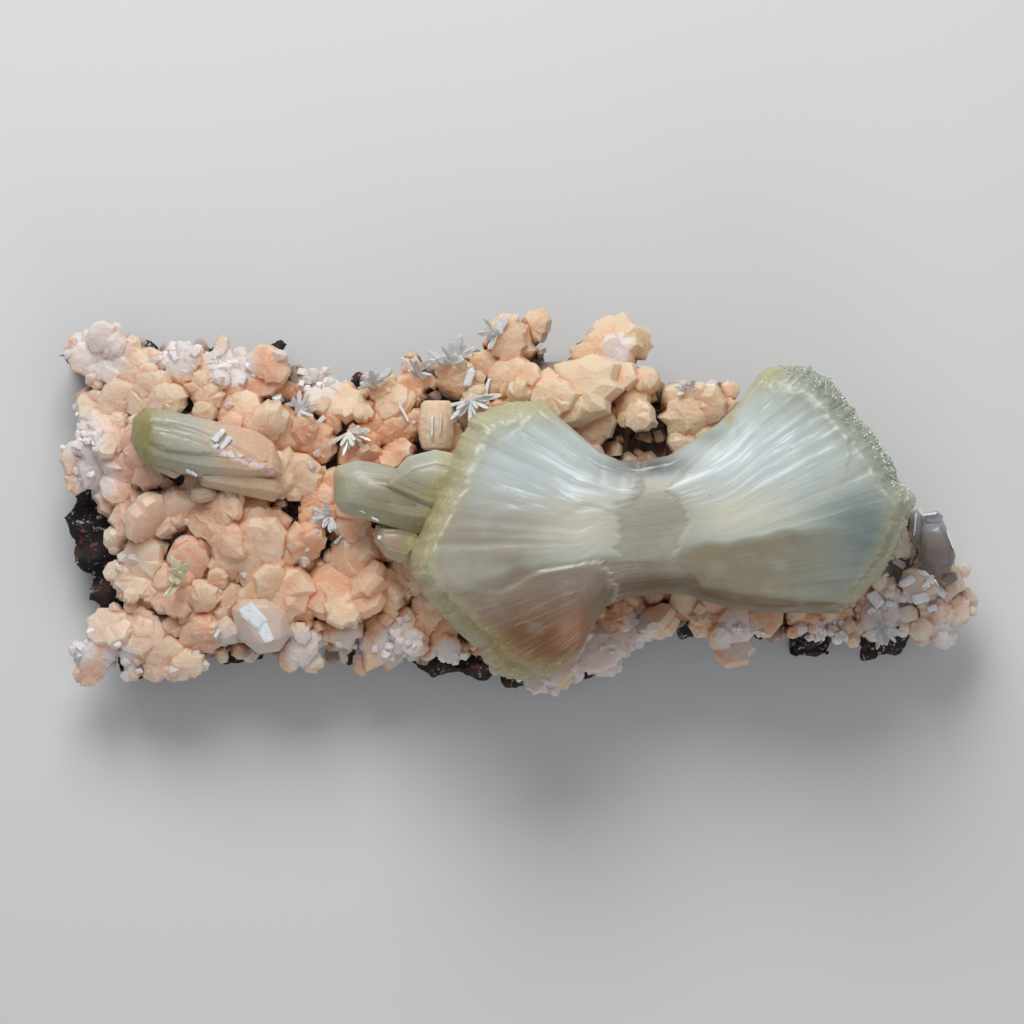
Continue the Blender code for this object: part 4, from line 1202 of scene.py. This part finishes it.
def blockPlaces():
    # The blocks of the list, and fillers where there is room between them
    leastLean, leanShare = crust["lean"]
    places = []
    for x, y, length, width, thickness, turn, lean in blocks:
        z = crustHeight(x, y) - crust["sunk"] * length + 0.8
        places.append((x, y, z, length, width, thickness, turn, leastLean + leanShare * lean))
    draw = random.Random(11)
    taken = [(place[0], place[1]) for place in places]
    filled = 0
    while filled < crust["fillers"]:
        x = draw.uniform(-crust["halfLength"], crust["halfLength"])
        y = draw.uniform(-crust["halfWidth"], crust["halfWidth"])
        spacing = draw.uniform(*crust["fillerSpacing"])
        length = draw.uniform(*crust["fillerLength"])
        turn = draw.uniform(0, 180)
        lean = draw.uniform(20, 75)
        crowded = any((x - tx) ** 2 + (y - ty) ** 2 < spacing ** 2 for tx, ty in taken)
        if crowded or not insideOutline(crustOutline, x, y):
            continue
        taken.append((x, y))
        filled += 1
        z = crustHeight(x, y) - crust["fillerSunk"] * length + 0.8
        width, thickness = [share * length for share in crust["fillerShape"]]
        places.append((x, y, z, length, width, thickness, turn, leastLean + leanShare * lean))
    return places


def outlinePoint(outline, share):
    # A point that far round a closed outline, and the way out of it there
    lengths = [(Vector(b) - Vector(a)).length for a, b in zip(outline, outline[1:] + outline[:1])]
    left = share * sum(lengths)
    for i, length in enumerate(lengths):
        if left <= length:
            break
        left -= length
    start, end = Vector(outline[i]), Vector(outline[(i + 1) % len(outline)])
    along = (end - start).normalized()
    return start + along * left, Vector((-along.y, along.x))


def coreShell():
    # The solid core under the crystals, a ring of corners at each of three heights
    shell = bmesh.new()
    heights = (crust["floor"], crust["floor"] + crust["coreBevel"], crust["coreTop"])
    rings = []
    for z, inset in zip(heights, crust["coreInsets"]):
        ring = []
        for place in crustOutline:
            corner = Vector(place)
            corner -= corner.normalized() * inset
            ring.append(shell.verts.new(Vector((*corner, z)) * mm))
        rings.append(ring)
    count = len(crustOutline)
    for before, after in zip(rings, rings[1:]):
        for j in range(count):
            k = (j + 1) % count
            shell.faces.new((before[j], before[k], after[k], after[j]))
    shell.faces.new(rings[0][::-1])
    shell.faces.new(rings[-1])
    return settleFaces(shell)


def halfCore(right):
    # One end of the core, cut square a little past where the two meshes meet
    shell = coreShell()
    way = Vector((1.0 if right else -1.0, 0.0, 0.0))
    cut = Vector((crust["split"], 0.0, 0.0)) - way
    found = bmesh.ops.bisect_plane(shell, geom=shell.verts[:] + shell.edges[:] + shell.faces[:],
                                   plane_co=cut * mm, plane_no=-way, clear_outer=True)
    rim = [edge for edge in found["geom_cut"] if isinstance(edge, bmesh.types.BMEdge)]
    bmesh.ops.holes_fill(shell, edges=rim)
    return shell


def addChips(heaps):
    # Small crystals that fill in between the blocks
    draw = random.Random(21)
    added = 0
    while added < crust["chipCount"]:
        x = draw.uniform(-crust["halfLength"], crust["halfLength"])
        y = draw.uniform(-crust["halfWidth"], crust["halfWidth"])
        if not insideOutline(crustOutline, x, y):
            continue
        added += 1
        heap = heaps[x > crust["split"]]
        length = draw.uniform(*crust["chipLength"])
        z = crust["coreTop"] + draw.uniform(-0.2, 0.85) * (crustHeight(x, y) - crust["coreTop"])
        place = crystalFrame(x, y, z, draw.uniform(0, 360), draw.uniform(0, 80))
        width = length * draw.uniform(0.6, 0.9)
        thickness = length * draw.uniform(0.45, 0.7)
        heap.add(place, length, width, thickness, draw, draw.random())


def addRimCrystals(heaps):
    # Crystals that lean out all round the crust's edge and hide its core
    draw = random.Random(22)
    bareX, bareY = crust["bareRock"]
    for i in range(crust["rimCount"]):
        spot, outwards = outlinePoint(crustOutline, (i + draw.random()) / crust["rimCount"])
        spot -= outwards * draw.uniform(-1.0, 1.9)
        if bareX[0] < spot.x < bareX[1] and bareY[0] < spot.y < bareY[1]:
            continue
        heap = heaps[spot.x > crust["split"]]
        length = draw.uniform(*crust["rimLength"])
        heading = math.degrees(math.atan2(outwards.y, outwards.x)) + draw.uniform(-40, 40)
        z = draw.uniform(crust["floor"] + 0.3, crust["coreTop"] + 0.6)
        place = crystalFrame(spot.x, spot.y, z, heading, draw.uniform(35, 110))
        place = place @ Matrix.Rotation(draw.uniform(0, math.pi), 4, "Z")
        width = length * draw.uniform(0.6, 0.95)
        thickness = length * draw.uniform(0.4, 0.7)
        heap.add(place, length, width, thickness, draw, draw.random())


crustColours = {
    "peach": (0.91, 0.51, 0.29),
    "salmon": (0.89, 0.48, 0.29),
    "cream": (0.96, 0.74, 0.54),
    # honey: a yellower colour above the sheaf, partly painted light that brightens it
    "honey": (1.0, 0.74, 0.50),      # above the sheaf
    # orange and dark: painted shade in the gaps, the darkest in the deepest of them
    "orange": (0.52, 0.21, 0.06),    # in the gaps
    "dark": (0.08, 0.028, 0.012),    # and in the deepest of them
    "blush": (0.90, 0.72, 0.64),     # towards the left end
    "ashen": (0.92, 0.84, 0.79),     # at the right end
    "white": (0.88, 0.80, 0.79),
    # cleft: painted shade in the clefts
    "cleft": (0.74, 0.36, 0.17),
    # edge: paler crystal edges, partly their colour and partly painted highlight
    "edge": (1.0, 0.81, 0.64),
    # spark: painted glints
    "spark": (0.98, 0.90, 0.84),
}


def crustFinish():
    finish = Finish("waxy peach heulandite", Roughness=0.4, IOR=1.5, Subsurface_Weight=0.7,
                    Subsurface_Scale=0.001, Subsurface_Radius=(2.4, 1.3, 0.8), Coat_Weight=0.3,
                    Coat_Roughness=0.16)
    x, y = finish.axis("X"), finish.axis("Y")
    tone = finish.attribute("tone")
    edge = finish.attribute("edge")
    cloud = finish.noise(2.4, 5.0, 0.6)
    # Painted shade: the deeper a place lies among the crystals, the more orange and then dark
    gaps = finish.attribute("deep") + 0.25 * cloud
    mottled = finish.step(finish.noise(1.2, 5.0, 0.65), 0.5, 0.7)
    # Above the sheaf: a yellower colour, partly painted light
    aboveSheaf = finish.step(x, -20 * mm, -2 * mm) * finish.step(y, 0.0, 10 * mm)
    leftEnd = finish.step(x * -1 + finish.noise(6.0, 3.0) * (12 * mm), 30 * mm, 62 * mm)
    rightEnd = finish.step(x, 43 * mm, 49 * mm)
    white = finish.step(finish.attribute("pale") + 0.3 * cloud, 0.4, 0.75)
    # Painted glints: small white specks, which are also smoother
    glintSpecks = finish.step(finish.noise(0.28, 3.0, 0.7), 0.62, 0.72)
    body = finish.mix(finish.step(tone + 0.4 * finish.noise(7.0, 4.0), 0.35, 1.0), crustColours["peach"],
                      crustColours["salmon"])
    for share, name in ((finish.step(cloud - tone, -0.15, 0.35) * 0.6, "cream"),
                        (mottled * 0.35, "cream"), (aboveSheaf * 0.5, "honey"),
                        (finish.step(gaps, 0.36, 0.75) * 0.9, "orange"),
                        (finish.step(gaps, 0.72, 1.05), "dark"),
                        (leftEnd * 0.35, "blush"), (rightEnd * 0.45, "ashen"), (white * 0.85, "white"),
                        ((1 - finish.step(edge, 0.15, 0.45)) * 0.45, "cleft"),
                        (finish.step(edge, 0.6, 0.95) * 0.3, "edge"), (glintSpecks * 0.6, "spark")):
        body = finish.mix(share, body, crustColours[name])
    finish.shade(Base_Color=body, Roughness=0.48 - 0.34 * glintSpecks)
    soft = finish.bump(cloud, 0.5, 0.85)
    steps = finish.bump(finish.cells(1.5), 0.22, 0.7, soft)
    finish.shade(Normal=finish.bump(finish.noise(0.45, 5.0, 0.65), 0.22, 0.9, steps))
    return finish


def depthsBelow(places, size=0.5, reach=3):
    # How far each place lies below the highest crystals around it, from a blurred map of their heights
    low = places.min(axis=0) - 4 * size
    columns, rows = ((places.max(axis=0) - low) / size).astype(int)[:2] + 5
    heights = np.full((columns, rows), 6.0)
    i, j = ((places[:, :2] - low[:2]) / size).astype(int).T
    np.maximum.at(heights, (i, j), places[:, 2])
    ways = [(way, axis) for axis in (0, 1) for way in (-1, 1)]
    for _ in range(reach):
        grown = heights.copy()
        for way in ways:
            grown = np.maximum(grown, np.roll(heights, *way) - 0.35)
        heights = grown
    for _ in range(2 * reach):
        heights = (heights + sum(np.roll(heights, *way) for way in ways)) / 5
    return heights[i, j] - places[:, 2]


def markCrust(mesh, heap):
    # The values that the material and the small crystals read: tone, depth for the painted shade in the
    # gaps, white places and edges
    tones = heap.toneMap()
    places = [corner.co / mm for corner in mesh.vertices]
    pointValues(mesh, "tone", [heap.tones[tones.find(place)[1]][1] for place in places])
    x, y, z = np.array(places).T
    surface = np.array([crustHeight(*place.xy) for place in places])
    below = depthsBelow(np.array(places))
    # The depth darkens the gaps as painted shade
    pointValues(mesh, "deep", np.clip(0.36 * below + 0.1 * (surface - z), 0, 1))
    border = outlineDepths(crustOutline, np.stack((x, y), 1))
    patches = np.array([noise.noise(place * 0.22) for place in places])
    pale = np.zeros(len(x))
    covered = np.zeros(len(x))
    for px, py, radius, cover in whitePlaces:
        near = np.exp(-((x - px) ** 2 + (y - py) ** 2) / radius ** 2)
        pale = np.maximum(pale, near)
        covered = np.maximum(covered, cover * np.clip(near * 2.0 - 0.6, 0, 1))
    pointValues(mesh, "pale", pale)
    pointValues(mesh, "druse", covered * climb(border, 3.4, -2.4) * np.clip(patches * 4.0 + 0.7, 0, 1))
    pointValues(mesh, "sparkle", np.clip(patches * 4.0 - 1.2, 0, 1) * (z > 11.0))
    markEdges(mesh, 2, 0.5)


# Small crystals on the crust; their corners are in crystal sizes, and the sizes here in metres
druseShape = [
    (-0.32, -0.26, -0.5), (0.34, -0.28, -0.5), (0.3, 0.26, -0.5), (-0.3, 0.3, -0.5),
    (-0.42, -0.3, 0.15), (0.4, -0.34, 0.2), (0.42, 0.3, 0.1), (-0.38, 0.32, 0.2),
    (-0.18, -0.1, 0.5), (0.16, 0.12, 0.46),
]
whiteDruse = {"shape": druseShape, "where": "druse", "density": 1.2e6, "smallest": 0.0005, "largest": 0.0017,
              "tilt": 0.7, "seed": 31}
clearDruse = {"shape": druseShape, "where": "sparkle", "density": 0.16e6, "smallest": 0.0007,
              "largest": 0.0019, "tilt": 0.9, "seed": 32}


def addDruse(piece, end):
    white = Finish("white sugary heulandite", Roughness=0.3, IOR=1.5, Coat_Weight=0.2)
    white.shade(Base_Color=white.mix(white.attribute("tone"), (0.93, 0.93, 0.96), (0.92, 0.80, 0.74)))
    scatter(end + "_white_druse", piece, whiteDruse, white)
    clear = Finish("colourless heulandite", Roughness=0.06, IOR=1.5, Transmission_Weight=0.35,
                   Base_Color=(1.0, 0.94, 0.89))
    scatter(end + "_clear_crystals", piece, clearDruse, clear)


def buildCrust():
    draw = random.Random(7)
    heaps = (CrystalHeap(), CrystalHeap())
    for x, y, z, length, width, thickness, turn, lean in blockPlaces():
        heap = heaps[x > crust["split"]]
        heap.addGrown(crystalFrame(x, y, z, turn, lean), length, width, thickness, draw)
    heaps[barrel["middle"].x > crust["split"]].keep(barrelShell(), barrel["tone"])
    addChips(heaps)
    addRimCrystals(heaps)
    finish = crustFinish()
    pieces = []
    for right, end in enumerate(("left", "right")):
        heap = heaps[right]
        layers = heap.layers()
        piece = fuse(end + "_peach_crust", [halfCore(right)] + layers)
        keepOuterSkin(piece)
        markCrust(piece.data, heap)
        softEdges(piece, 28)
        dress(piece, finish, "heulandite_crust")
        print(piece.name, len(heap.shells), "crystals in", len(layers), "layers,",
              len(piece.data.polygons), "faces")
        addDruse(piece, end)
        pieces.append(piece)
    return pieces


# The rock

# Lumps of rock that look out from under the crust: x, y, z and radius
rockLumps = [
    (-57.8, 20.2, 7.0, 2.4), (-55.4, 1.8, 5.4, 3.4), (-55.6, -2.4, 5.0, 3.9), (-54.6, -6.8, 5.4, 3.9),
    (-53.2, -11.0, 5.4, 3.6), (-52.6, -14.4, 4.8, 3.2), (-49.6, -20.6, 4.6, 3.2), (-44.0, -21.0, 4.6, 3.0),
    (-39.0, 19.6, 5.6, 2.4), (-31.0, 18.6, 5.6, 2.4), (-10.0, -20.6, 5.0, 3.4), (-4.4, -21.4, 5.2, 3.4),
    (0.6, -22.2, 4.6, 3.0), (9.0, -21.8, 4.4, 3.0), (34.0, -15.8, 5.8, 3.2), (39.0, -17.0, 5.6, 3.2),
    (48.0, -18.0, 5.2, 3.2),
]

rock = {
    "voxel": 0.55,
    "lumps": 0.55,
    "grit": 0.18,
    "flatBelow": 0.6,     # where the sawn face starts to stay smooth
    "lumpCorners": 16,
}
rockColours = {
    "black": (0.018, 0.015, 0.014),
    "brown": (0.075, 0.030, 0.018),
    "grey": (0.10, 0.095, 0.085),
    "rust": (0.26, 0.065, 0.04),
    "specks": (0.62, 0.58, 0.56),
}


def rockFinish():
    finish = Finish("dark rusty basalt", Roughness=0.85, IOR=1.5)
    brown = finish.step(finish.noise(5.0, 5.0), 0.5, 0.66)
    grey = finish.step(finish.noise(1.1, 5.0, 0.7), 0.56, 0.72)
    specks = finish.step(finish.noise(0.9, 4.0, 0.7), 0.57, 0.62)
    specks = specks * finish.step(finish.noise(4.0, 2.0), 0.42, 0.52)
    rust = finish.step(finish.noise(1.4, 4.0, 0.6), 0.6, 0.66) * (1 - specks) * 0.8
    body = finish.mix(brown, rockColours["black"], rockColours["brown"])
    for share, name in ((grey, "grey"), (specks, "specks"), (rust, "rust")):
        body = finish.mix(share, body, rockColours[name])
    finish.shade(Base_Color=body)
    coarse = finish.bump(finish.noise(1.6, 6.0, 0.65), 0.8, 0.9)
    finish.shade(Normal=finish.bump(finish.noise(0.35, 4.0, 0.6), 0.2, 0.8, coarse))
    return finish


def rockLump(x, y, z, radius, draw):
    corners = []
    ways = [Vector((draw.gauss(0, 1), draw.gauss(0, 1), draw.gauss(0, 1))).normalized()
            for _ in range(rock["lumpCorners"])]
    for way in ways:
        corners.append(Vector((x, y, z)) + way * radius * draw.uniform(0.8, 1.1))
    return hullShell(corners)


def rockPush(spot):
    # How far the rock's skin moves out at a place, and not at all on the sawn face
    free = min(1.0, max(0.0, spot.z / rock["flatBelow"]))
    lumps = noise.fractal(spot * 0.33, 1.0, 2.0, 3) * rock["lumps"]
    return (lumps + noise.noise(spot * 1.7) * rock["grit"] - 0.25) * free


def buildRock():
    # The rock's solid, made rough everywhere but on its sawn face
    shell = shellOf(frame["nodes"]["basalt_matrix"].data)
    bmesh.ops.remove_doubles(shell, verts=shell.verts, dist=0.01 * mm)
    draw = random.Random(3)
    lumps = [rockLump(*row, draw) for row in rockLumps]
    piece = newObject("rough_basalt", meshFrom("rough_basalt", joinShells([shell] + lumps)))
    voxels = piece.modifiers.new("voxels", "REMESH")
    voxels.mode = "VOXEL"
    voxels.voxel_size = rock["voxel"] * mm
    applyModifiers(piece)
    pushOut(piece.data, rockPush)
    for corner in piece.data.vertices:
        corner.co.z = max(0.0, corner.co.z)
    softEdges(piece, 50)
    dress(piece, rockFinish(), "basalt_matrix")
    print("rock:", len(piece.data.polygons), "faces")


# Clear crystals

# Sprays of clear blades: name, x, y, z, length, width, how many blades the solid has, lean and heading
sprays = [
    ("spray_top_left", -18.0, 15.8, 13.4, 3.2, 1.1, 5, 60, 95),
    ("spray_top_small", -12.2, 17.4, 13.4, 2.9, 1.0, 5, 60, 80),
    ("spray_top_tall", -7.4, 18.6, 14.4, 4.0, 1.25, 6, 55, 100),
    ("spray_top_right", -1.6, 22.4, 14.4, 3.2, 1.1, 5, 60, 125),
    ("spray_white_bundle", -5.2, 13.8, 14.8, 4.6, 1.3, 6, 50, 280),
    ("spray_rosette", -21.0, 9.6, 15.6, 3.2, 1.0, 6, 65, 300),
    ("spray_upper_rosette", -27.8, 12.4, 15.4, 3.3, 1.1, 6, 65, 20),
    ("spray_centre", -23.6, -1.4, 15.6, 3.2, 1.1, 5, 65, 200),
    ("spray_yellow", -43.0, -9.6, 16.6, 3.6, 1.3, 5, 65, 150),
    ("spray_blue", 23.4, 14.8, 15.6, 2.6, 0.9, 5, 50, 90),
    ("spray_lower_right", 48.9, -16.0, 13.8, 3.2, 1.1, 6, 80, 270),
    ("spray_far_right", 55.2, -9.6, 16.4, 1.9, 1.0, 4, 60, 230),
]
spray = {
    "blades": 3.4,        # how many blades there are for each one in the solid
    "fan": 180.0,         # the angle that they fill, in degrees
    "bevel": 0.07,
    "mostLean": 88,
    # how far along a blade each section lies, and the share of its width and depth there
    "sections": ((0.0, 0.4, 0.5), (0.5, 0.86, 0.9), (0.76, 1.0, 1.0), (0.93, 0.62, 0.7), (1.0, 0.2, 0.4)),
    # the ways to the corners of the knob that a spray grows from
    "knob": ((1, 1, 1), (1, -1, -1), (-1, 1, -1), (-1, -1, 1), (0, 1, 1), (1, 0, -1)),
}
clearColours = {
    "clear": (1.0, 1.0, 1.0),
    "straw clear": (1.0, 0.97, 0.86),
    "yellow clear": (0.93, 0.89, 0.60),
}


def clearFinish(name):
    finish = Finish(name + " blades", Roughness=0.04, IOR=1.5, Transmission_Weight=0.16, Coat_Weight=0.3)
    colour = clearColours[name]
    flaws = finish.step(finish.noise(0.9, 3.0, 0.5), 0.4, 0.6)
    finish.shade(Base_Color=finish.mix(flaws, [0.84 * part for part in colour], colour))
    finish.shade(Normal=finish.bump(finish.noise(0.5, 3.0), 0.04, 0.5))
    return finish


def bladeShell(start, along, across, reach, wide, deep):
    # A flat blade that widens to its shoulders and ends in a blunt point
    up = along.cross(across)
    corners = []
    for part, width, depth in spray["sections"]:
        for side in (-0.5, 0.5):
            for face in (-0.5, 0.5):
                corners.append(start + along * part * reach + across * side * width * wide
                               + up * face * depth * deep)
    return hullShell(corners, spray["bevel"])


def sprayShells(row):
    name, x, y, z, length, width, count, lean, heading = row
    draw = random.Random(name)
    start = Vector((x, y, z))
    blades = int(count * spray["blades"])
    below = start + Vector((0, 0, -0.5))
    shells = [hullShell([below + Vector(way).normalized() * 0.7 * width for way in spray["knob"]], 0.05)]
    for i in range(blades):
        turn = math.radians(heading + (i / (blades - 1) - 0.5) * spray["fan"] + draw.uniform(-24, 24))
        tilt = math.radians(min(spray["mostLean"], lean * draw.uniform(0.45, 1.4)))
        along = Vector((math.cos(turn) * math.sin(tilt), math.sin(turn) * math.sin(tilt), math.cos(tilt)))
        level = along.cross(Vector((0, 0, 1))).normalized()
        across = Matrix.Rotation(math.radians(draw.gauss(0, 32)), 3, along) @ level
        wide = width * draw.uniform(0.35, 0.8)
        reach = length * draw.uniform(0.4, 1.12)
        shells.append(bladeShell(start, along, across, reach, wide, 0.42 * wide))
    return shells


def buildSprays():
    finishes = {name: clearFinish(name) for name in clearColours}
    colourOf = {"spray_yellow": "yellow clear", "spray_rosette": "straw clear"}
    for row in sprays:
        name = row[0]
        piece = fuse("clear_" + name, sprayShells(row))
        softEdges(piece, 25)
        dress(piece, finishes[colourOf.get(name, "clear")], name)
    print("sprays:", len(sprays))


# Colours of the free tablet from its left end to its right: the share of its length and the colour
tabletRamp = (
    (0.0, (0.34, 0.30, 0.11)), (0.09, (0.34, 0.30, 0.11)), (0.17, (0.44, 0.42, 0.29)),
    (0.42, (0.48, 0.475, 0.39)), (0.62, (0.60, 0.51, 0.39)), (0.85, (0.74, 0.49, 0.33)),
)


def tabletFinish():
    # Green at the left end, milky in the middle and tan at the right, where a line of sparkles, painted
    # glints, crosses it
    finish = Finish("milky green tablet", Roughness=0.22, IOR=1.5, Coat_Weight=0.3, Coat_Roughness=0.08,
                    Subsurface_Weight=0.4, Subsurface_Scale=0.001)
    x, y = finish.axis("X"), finish.axis("Y")
    wander = finish.noise(2.5, 3.0) * (2 * mm)
    body = finish.ramp(finish.step(x + wander, -50 * mm, -29 * mm), *tabletRamp)
    lower = 1 - finish.step(y + finish.noise(3.0, 3.0) * (2 * mm), 3.5 * mm, 5.5 * mm)
    body = finish.mix(lower * 0.75, body, (0.64, 0.48, 0.31))
    # Painted glints along a line across the tablet
    fromLine = (y - 7.1 * mm + 0.43 * (x + 37.6 * mm)).size()
    sparkle = (1 - finish.step(fromLine, 0.2 * mm, 0.9 * mm)) * finish.step(x, -38.5 * mm, -37 * mm)
    sparkle = sparkle * finish.step(finish.noise(0.7, 4.0, 0.7), 0.42, 0.56)
    body = finish.mix(sparkle, body, (0.95, 0.82, 0.80))
    streak = finish.step(finish.noise(1.4, 5.0, 0.65), 0.56, 0.72)
    body = finish.mix(streak * 0.4, body, (0.72, 0.72, 0.64))
    finish.shade(Base_Color=body, Roughness=0.14 + 0.25 * finish.noise(1.0, 4.0))
    fine = finish.bump(finish.noise(0.25, 4.0, 0.65), 0.06, 0.5)
    finish.shade(Normal=finish.bump(finish.noise(1.3, 5.0, 0.6), 0.25, 0.5, fine))
    return finish


def glassFinish(name, glass):
    # Milky glass whose colour changes from the upper end to the lower
    finish = Finish(name, Roughness=0.14, IOR=1.5, Transmission_Weight=glass["transmission"])
    middle, spread = glass["change"]
    height = finish.axis("Y") + finish.noise(2.0, 3.0) * mm
    share = finish.step(height, (middle - spread) * mm, (middle + spread) * mm)
    finish.shade(Base_Color=finish.mix(share, glass["lower"], glass["upper"]))
    finish.shade(Normal=finish.bump(finish.noise(0.8, 4.0), 0.12, 0.5))
    return finish


# The two glassy pieces; the change is the y where their colours meet and how far each way they mix
plateGlass = {
    "upper": (0.58, 0.61, 0.67),
    "lower": (0.36, 0.31, 0.29),
    "change": (-2.6, 1.6),
    "transmission": 0.5,
    "seed": 6,
    "grownCount": 0,
}
blockGlass = {
    "upper": (0.94, 0.74, 0.60),
    "lower": (0.92, 0.80, 0.70),
    "change": (-16.0, 2.0),
    "transmission": 0.25,
    "seed": 8,
    "grownCount": 2,
}


def buildTablets():
    piece = fuse("free_tablet", slabShells(freeSlabs, 5, 3))
    softEdges(piece, 30)
    dress(piece, tabletFinish(), "stilbite_tablet")
    for name, slabs, node, glass, finishName in (
            ("grey_glassy_plate", plateSlabs, "glassy_plate", plateGlass, "grey milky glass"),
            ("clear_white_block", blockSlabs, "white_block", blockGlass, "pinkish milky glass")):
        piece = fuse(name, slabShells(slabs, glass["seed"], glass["grownCount"]))
        softEdges(piece, 30)
        dress(piece, glassFinish(finishName, glass), node)
    print("tablets done")


# Small bright white plates, some of them white crystals and some thin slivers that stand in for glints,
# painted highlights, on the tablets, the barrel, the white block and the glassy plate's edges: x, y, height
# (None: on the crust), length, width, turn
whitePlatesAndGlints = [
    (-37.9, 9.0, 21.3, 2.1, 0.7, 50), (-37.0, 8.0, 21.1, 2.0, 0.6, 54), (-38.3, 7.6, 21.3, 1.0, 0.5, 40),
    (-41.9, 4.4, 19.6, 0.8, 0.5, -20), (-41.2, 4.1, 19.6, 0.9, 0.4, -35), (-16.9, -4.2, 22.2, 0.6, 0.5, 0),
    (52.3, -10.0, None, 2.0, 0.9, 30), (54.0, -12.2, None, 2.3, 1.25, 14),
    (56.6, -11.3, None, 2.2, 1.0, -36), (48.1, -12.4, None, 2.4, 1.3, -50),
    (51.3, -7.7, None, 1.9, 0.9, -30), (53.0, -7.2, None, 1.4, 0.35, 75), (47.5, -13.9, None, 1.0, 0.7, 40),
    (49.3, -9.2, None, 0.9, 0.4, 30), (-13.9, 12.1, None, 2.6, 0.4, -62), (-24.8, 11.2, None, 1.4, 0.6, 40),
    (-5.4, 16.8, None, 2.6, 0.9, 70), (-3.0, 15.4, None, 2.4, 0.5, 78), (-33.6, -14.6, 17.5, 3.4, 1.9, -46),
    (-32.2, -16.4, 17.4, 3.4, 1.5, -58), (-38.4, -16.9, 15.8, 1.2, 0.5, 60),
    (-35.0, 16.4, None, 1.2, 0.7, 60), (-17.5, -1.8, 23.4, 1.2, 0.3, -20),
    (-19.2, -0.8, 23.6, 1.0, 0.3, -30), (54.9, -1.2, 16.7, 2.0, 0.25, 8),
    (57.7, -4.6, 16.0, 2.6, 0.25, -70), (53.0, -2.6, 17.0, 2.8, 0.22, 85),
    (58.3, -7.4, 15.2, 1.6, 0.3, -80), (-10.2, 10.2, None, 2.8, 0.3, 90), (-9.1, 10.5, None, 2.6, 0.25, 88),
    (-22.6, -4.6, None, 1.4, 0.5, 50), (55.6, -13.6, None, 1.3, 0.8, 20),
    (50.0, -13.0, None, 1.2, 0.7, -15),
]


# Corners of a plate, in shares of its length and width
plateOutline = ((-0.5, 0.5), (-0.5, -0.3), (-0.36, -0.5), (0.5, -0.5), (0.5, 0.2), (0.4, 0.5))


def plateShell(plate, crusts):
    x, y, height, length, width, turn = plate
    draw = random.Random(str(plate))
    lift = 0.0 if height else 0.5
    if height is None:
        hits = [half.ray_cast(Vector((x, y, 60.0)) * mm, Vector((0, 0, -1))) for half in crusts]
        height = max([hit[1].z / mm for hit in hits if hit[0]] or [14.0])
    place = Matrix.Translation((x, y, height)) @ turned(turn, "Z")
    corners = []
    for along, across in plateOutline:
        for level, share in ((0.3 + lift, 0.8), (0.1 + lift, 1.0), (-0.7, 1.0)):
            ragged = Vector((draw.uniform(-0.1, 0.1) * length, draw.uniform(-0.17, 0.17) * width,
                             draw.uniform(-0.08, 0.08)))
            corner = Vector((along * length * share, across * width * share, level))
            corners.append(place @ (corner + ragged))
    return hullShell(corners)


def buildBrightPlates(crusts):
    finish = Finish("white plates and painted glints", Roughness=0.16, IOR=1.5, Subsurface_Weight=0.3,
                    Subsurface_Scale=0.0005, Coat_Weight=0.4)
    cloudy = finish.step(finish.noise(0.5, 4.0, 0.7), 0.5, 0.7)
    finish.shade(Base_Color=finish.mix(cloudy, (0.93, 0.93, 0.95), (0.66, 0.66, 0.70)))
    finish.shade(Normal=finish.bump(finish.noise(0.35, 4.0), 0.1, 0.5))
    # The thin bright slivers among these plates are painted highlights
    shells = [plateShell(plate, crusts) for plate in whitePlatesAndGlints]
    piece = newObject("bright_white_plates", meshFrom("bright_white_plates", joinShells(shells)))
    dress(piece, finish, None)
    print("bright plates:", len(whitePlatesAndGlints))


# The stage

stage = {
    "pixels": 1024,           # of the photograph's width
    "pixel": 0.13,            # millimetres of the specimen for each of them
    "middle": (0.26, -0.91),  # the point that the middle of the photograph shows
    "focusHeight": 22.0,
    "lens": 200.0,
    "clipStart": 10.0,
    "lampSize": 260.0,
    "lamps": {                # place and power
        "key": ((-60.0, 330.0, 330.0), 1.5),
        "fill": ((120.0, -380.0, 260.0), 0.25),
    },
    "floor": (0.80, 0.80, 0.79),
    "floorHalf": 3000.0,
    "sky": (0.9, 0.93, 1.0),
    "skyStrength": 0.3,
}


def buildStage():
    scene = bpy.context.scene
    data = bpy.data.cameras.new("camera")
    data.lens = stage["lens"]
    data.clip_start = stage["clipStart"] * mm
    camera = newObject("camera", data)
    away = stage["pixels"] * stage["pixel"] * stage["lens"] / data.sensor_width
    camera.location = Vector((*stage["middle"], stage["focusHeight"] + away)) * mm
    scene.camera = camera

    half = stage["floorHalf"] * mm
    corners = [(-half, -half, 0), (half, -half, 0), (half, half, 0), (-half, half, 0)]
    floorMesh = bpy.data.meshes.new("floor")
    floorMesh.from_pydata(corners, [], [(0, 1, 2, 3)])
    floorMesh.materials.append(Finish("plain floor", Base_Color=stage["floor"], Roughness=0.7).material)
    newObject("floor", floorMesh)

    for name, (place, power) in stage["lamps"].items():
        lamp = bpy.data.lights.new(name, "AREA")
        lamp.energy = power
        lamp.size = stage["lampSize"] * mm
        light = newObject(name, lamp)
        light.location = Vector(place) * mm
        light.rotation_euler = (-Vector(place)).to_track_quat("-Z", "Y").to_euler()

    world = bpy.data.worlds.new("studio")
    world.use_nodes = True
    sky = world.node_tree.nodes["Background"]
    sky.inputs["Color"].default_value = (*stage["sky"], 1.0)
    sky.inputs["Strength"].default_value = stage["skyStrength"]
    scene.world = world
    scene.view_settings.view_transform = "Standard"


def main():
    buildStage()
    buildRock()
    crusts = buildCrust()
    buildBrightPlates(crusts)
    buildSheaf()
    buildTablets()
    buildSprays()


main()
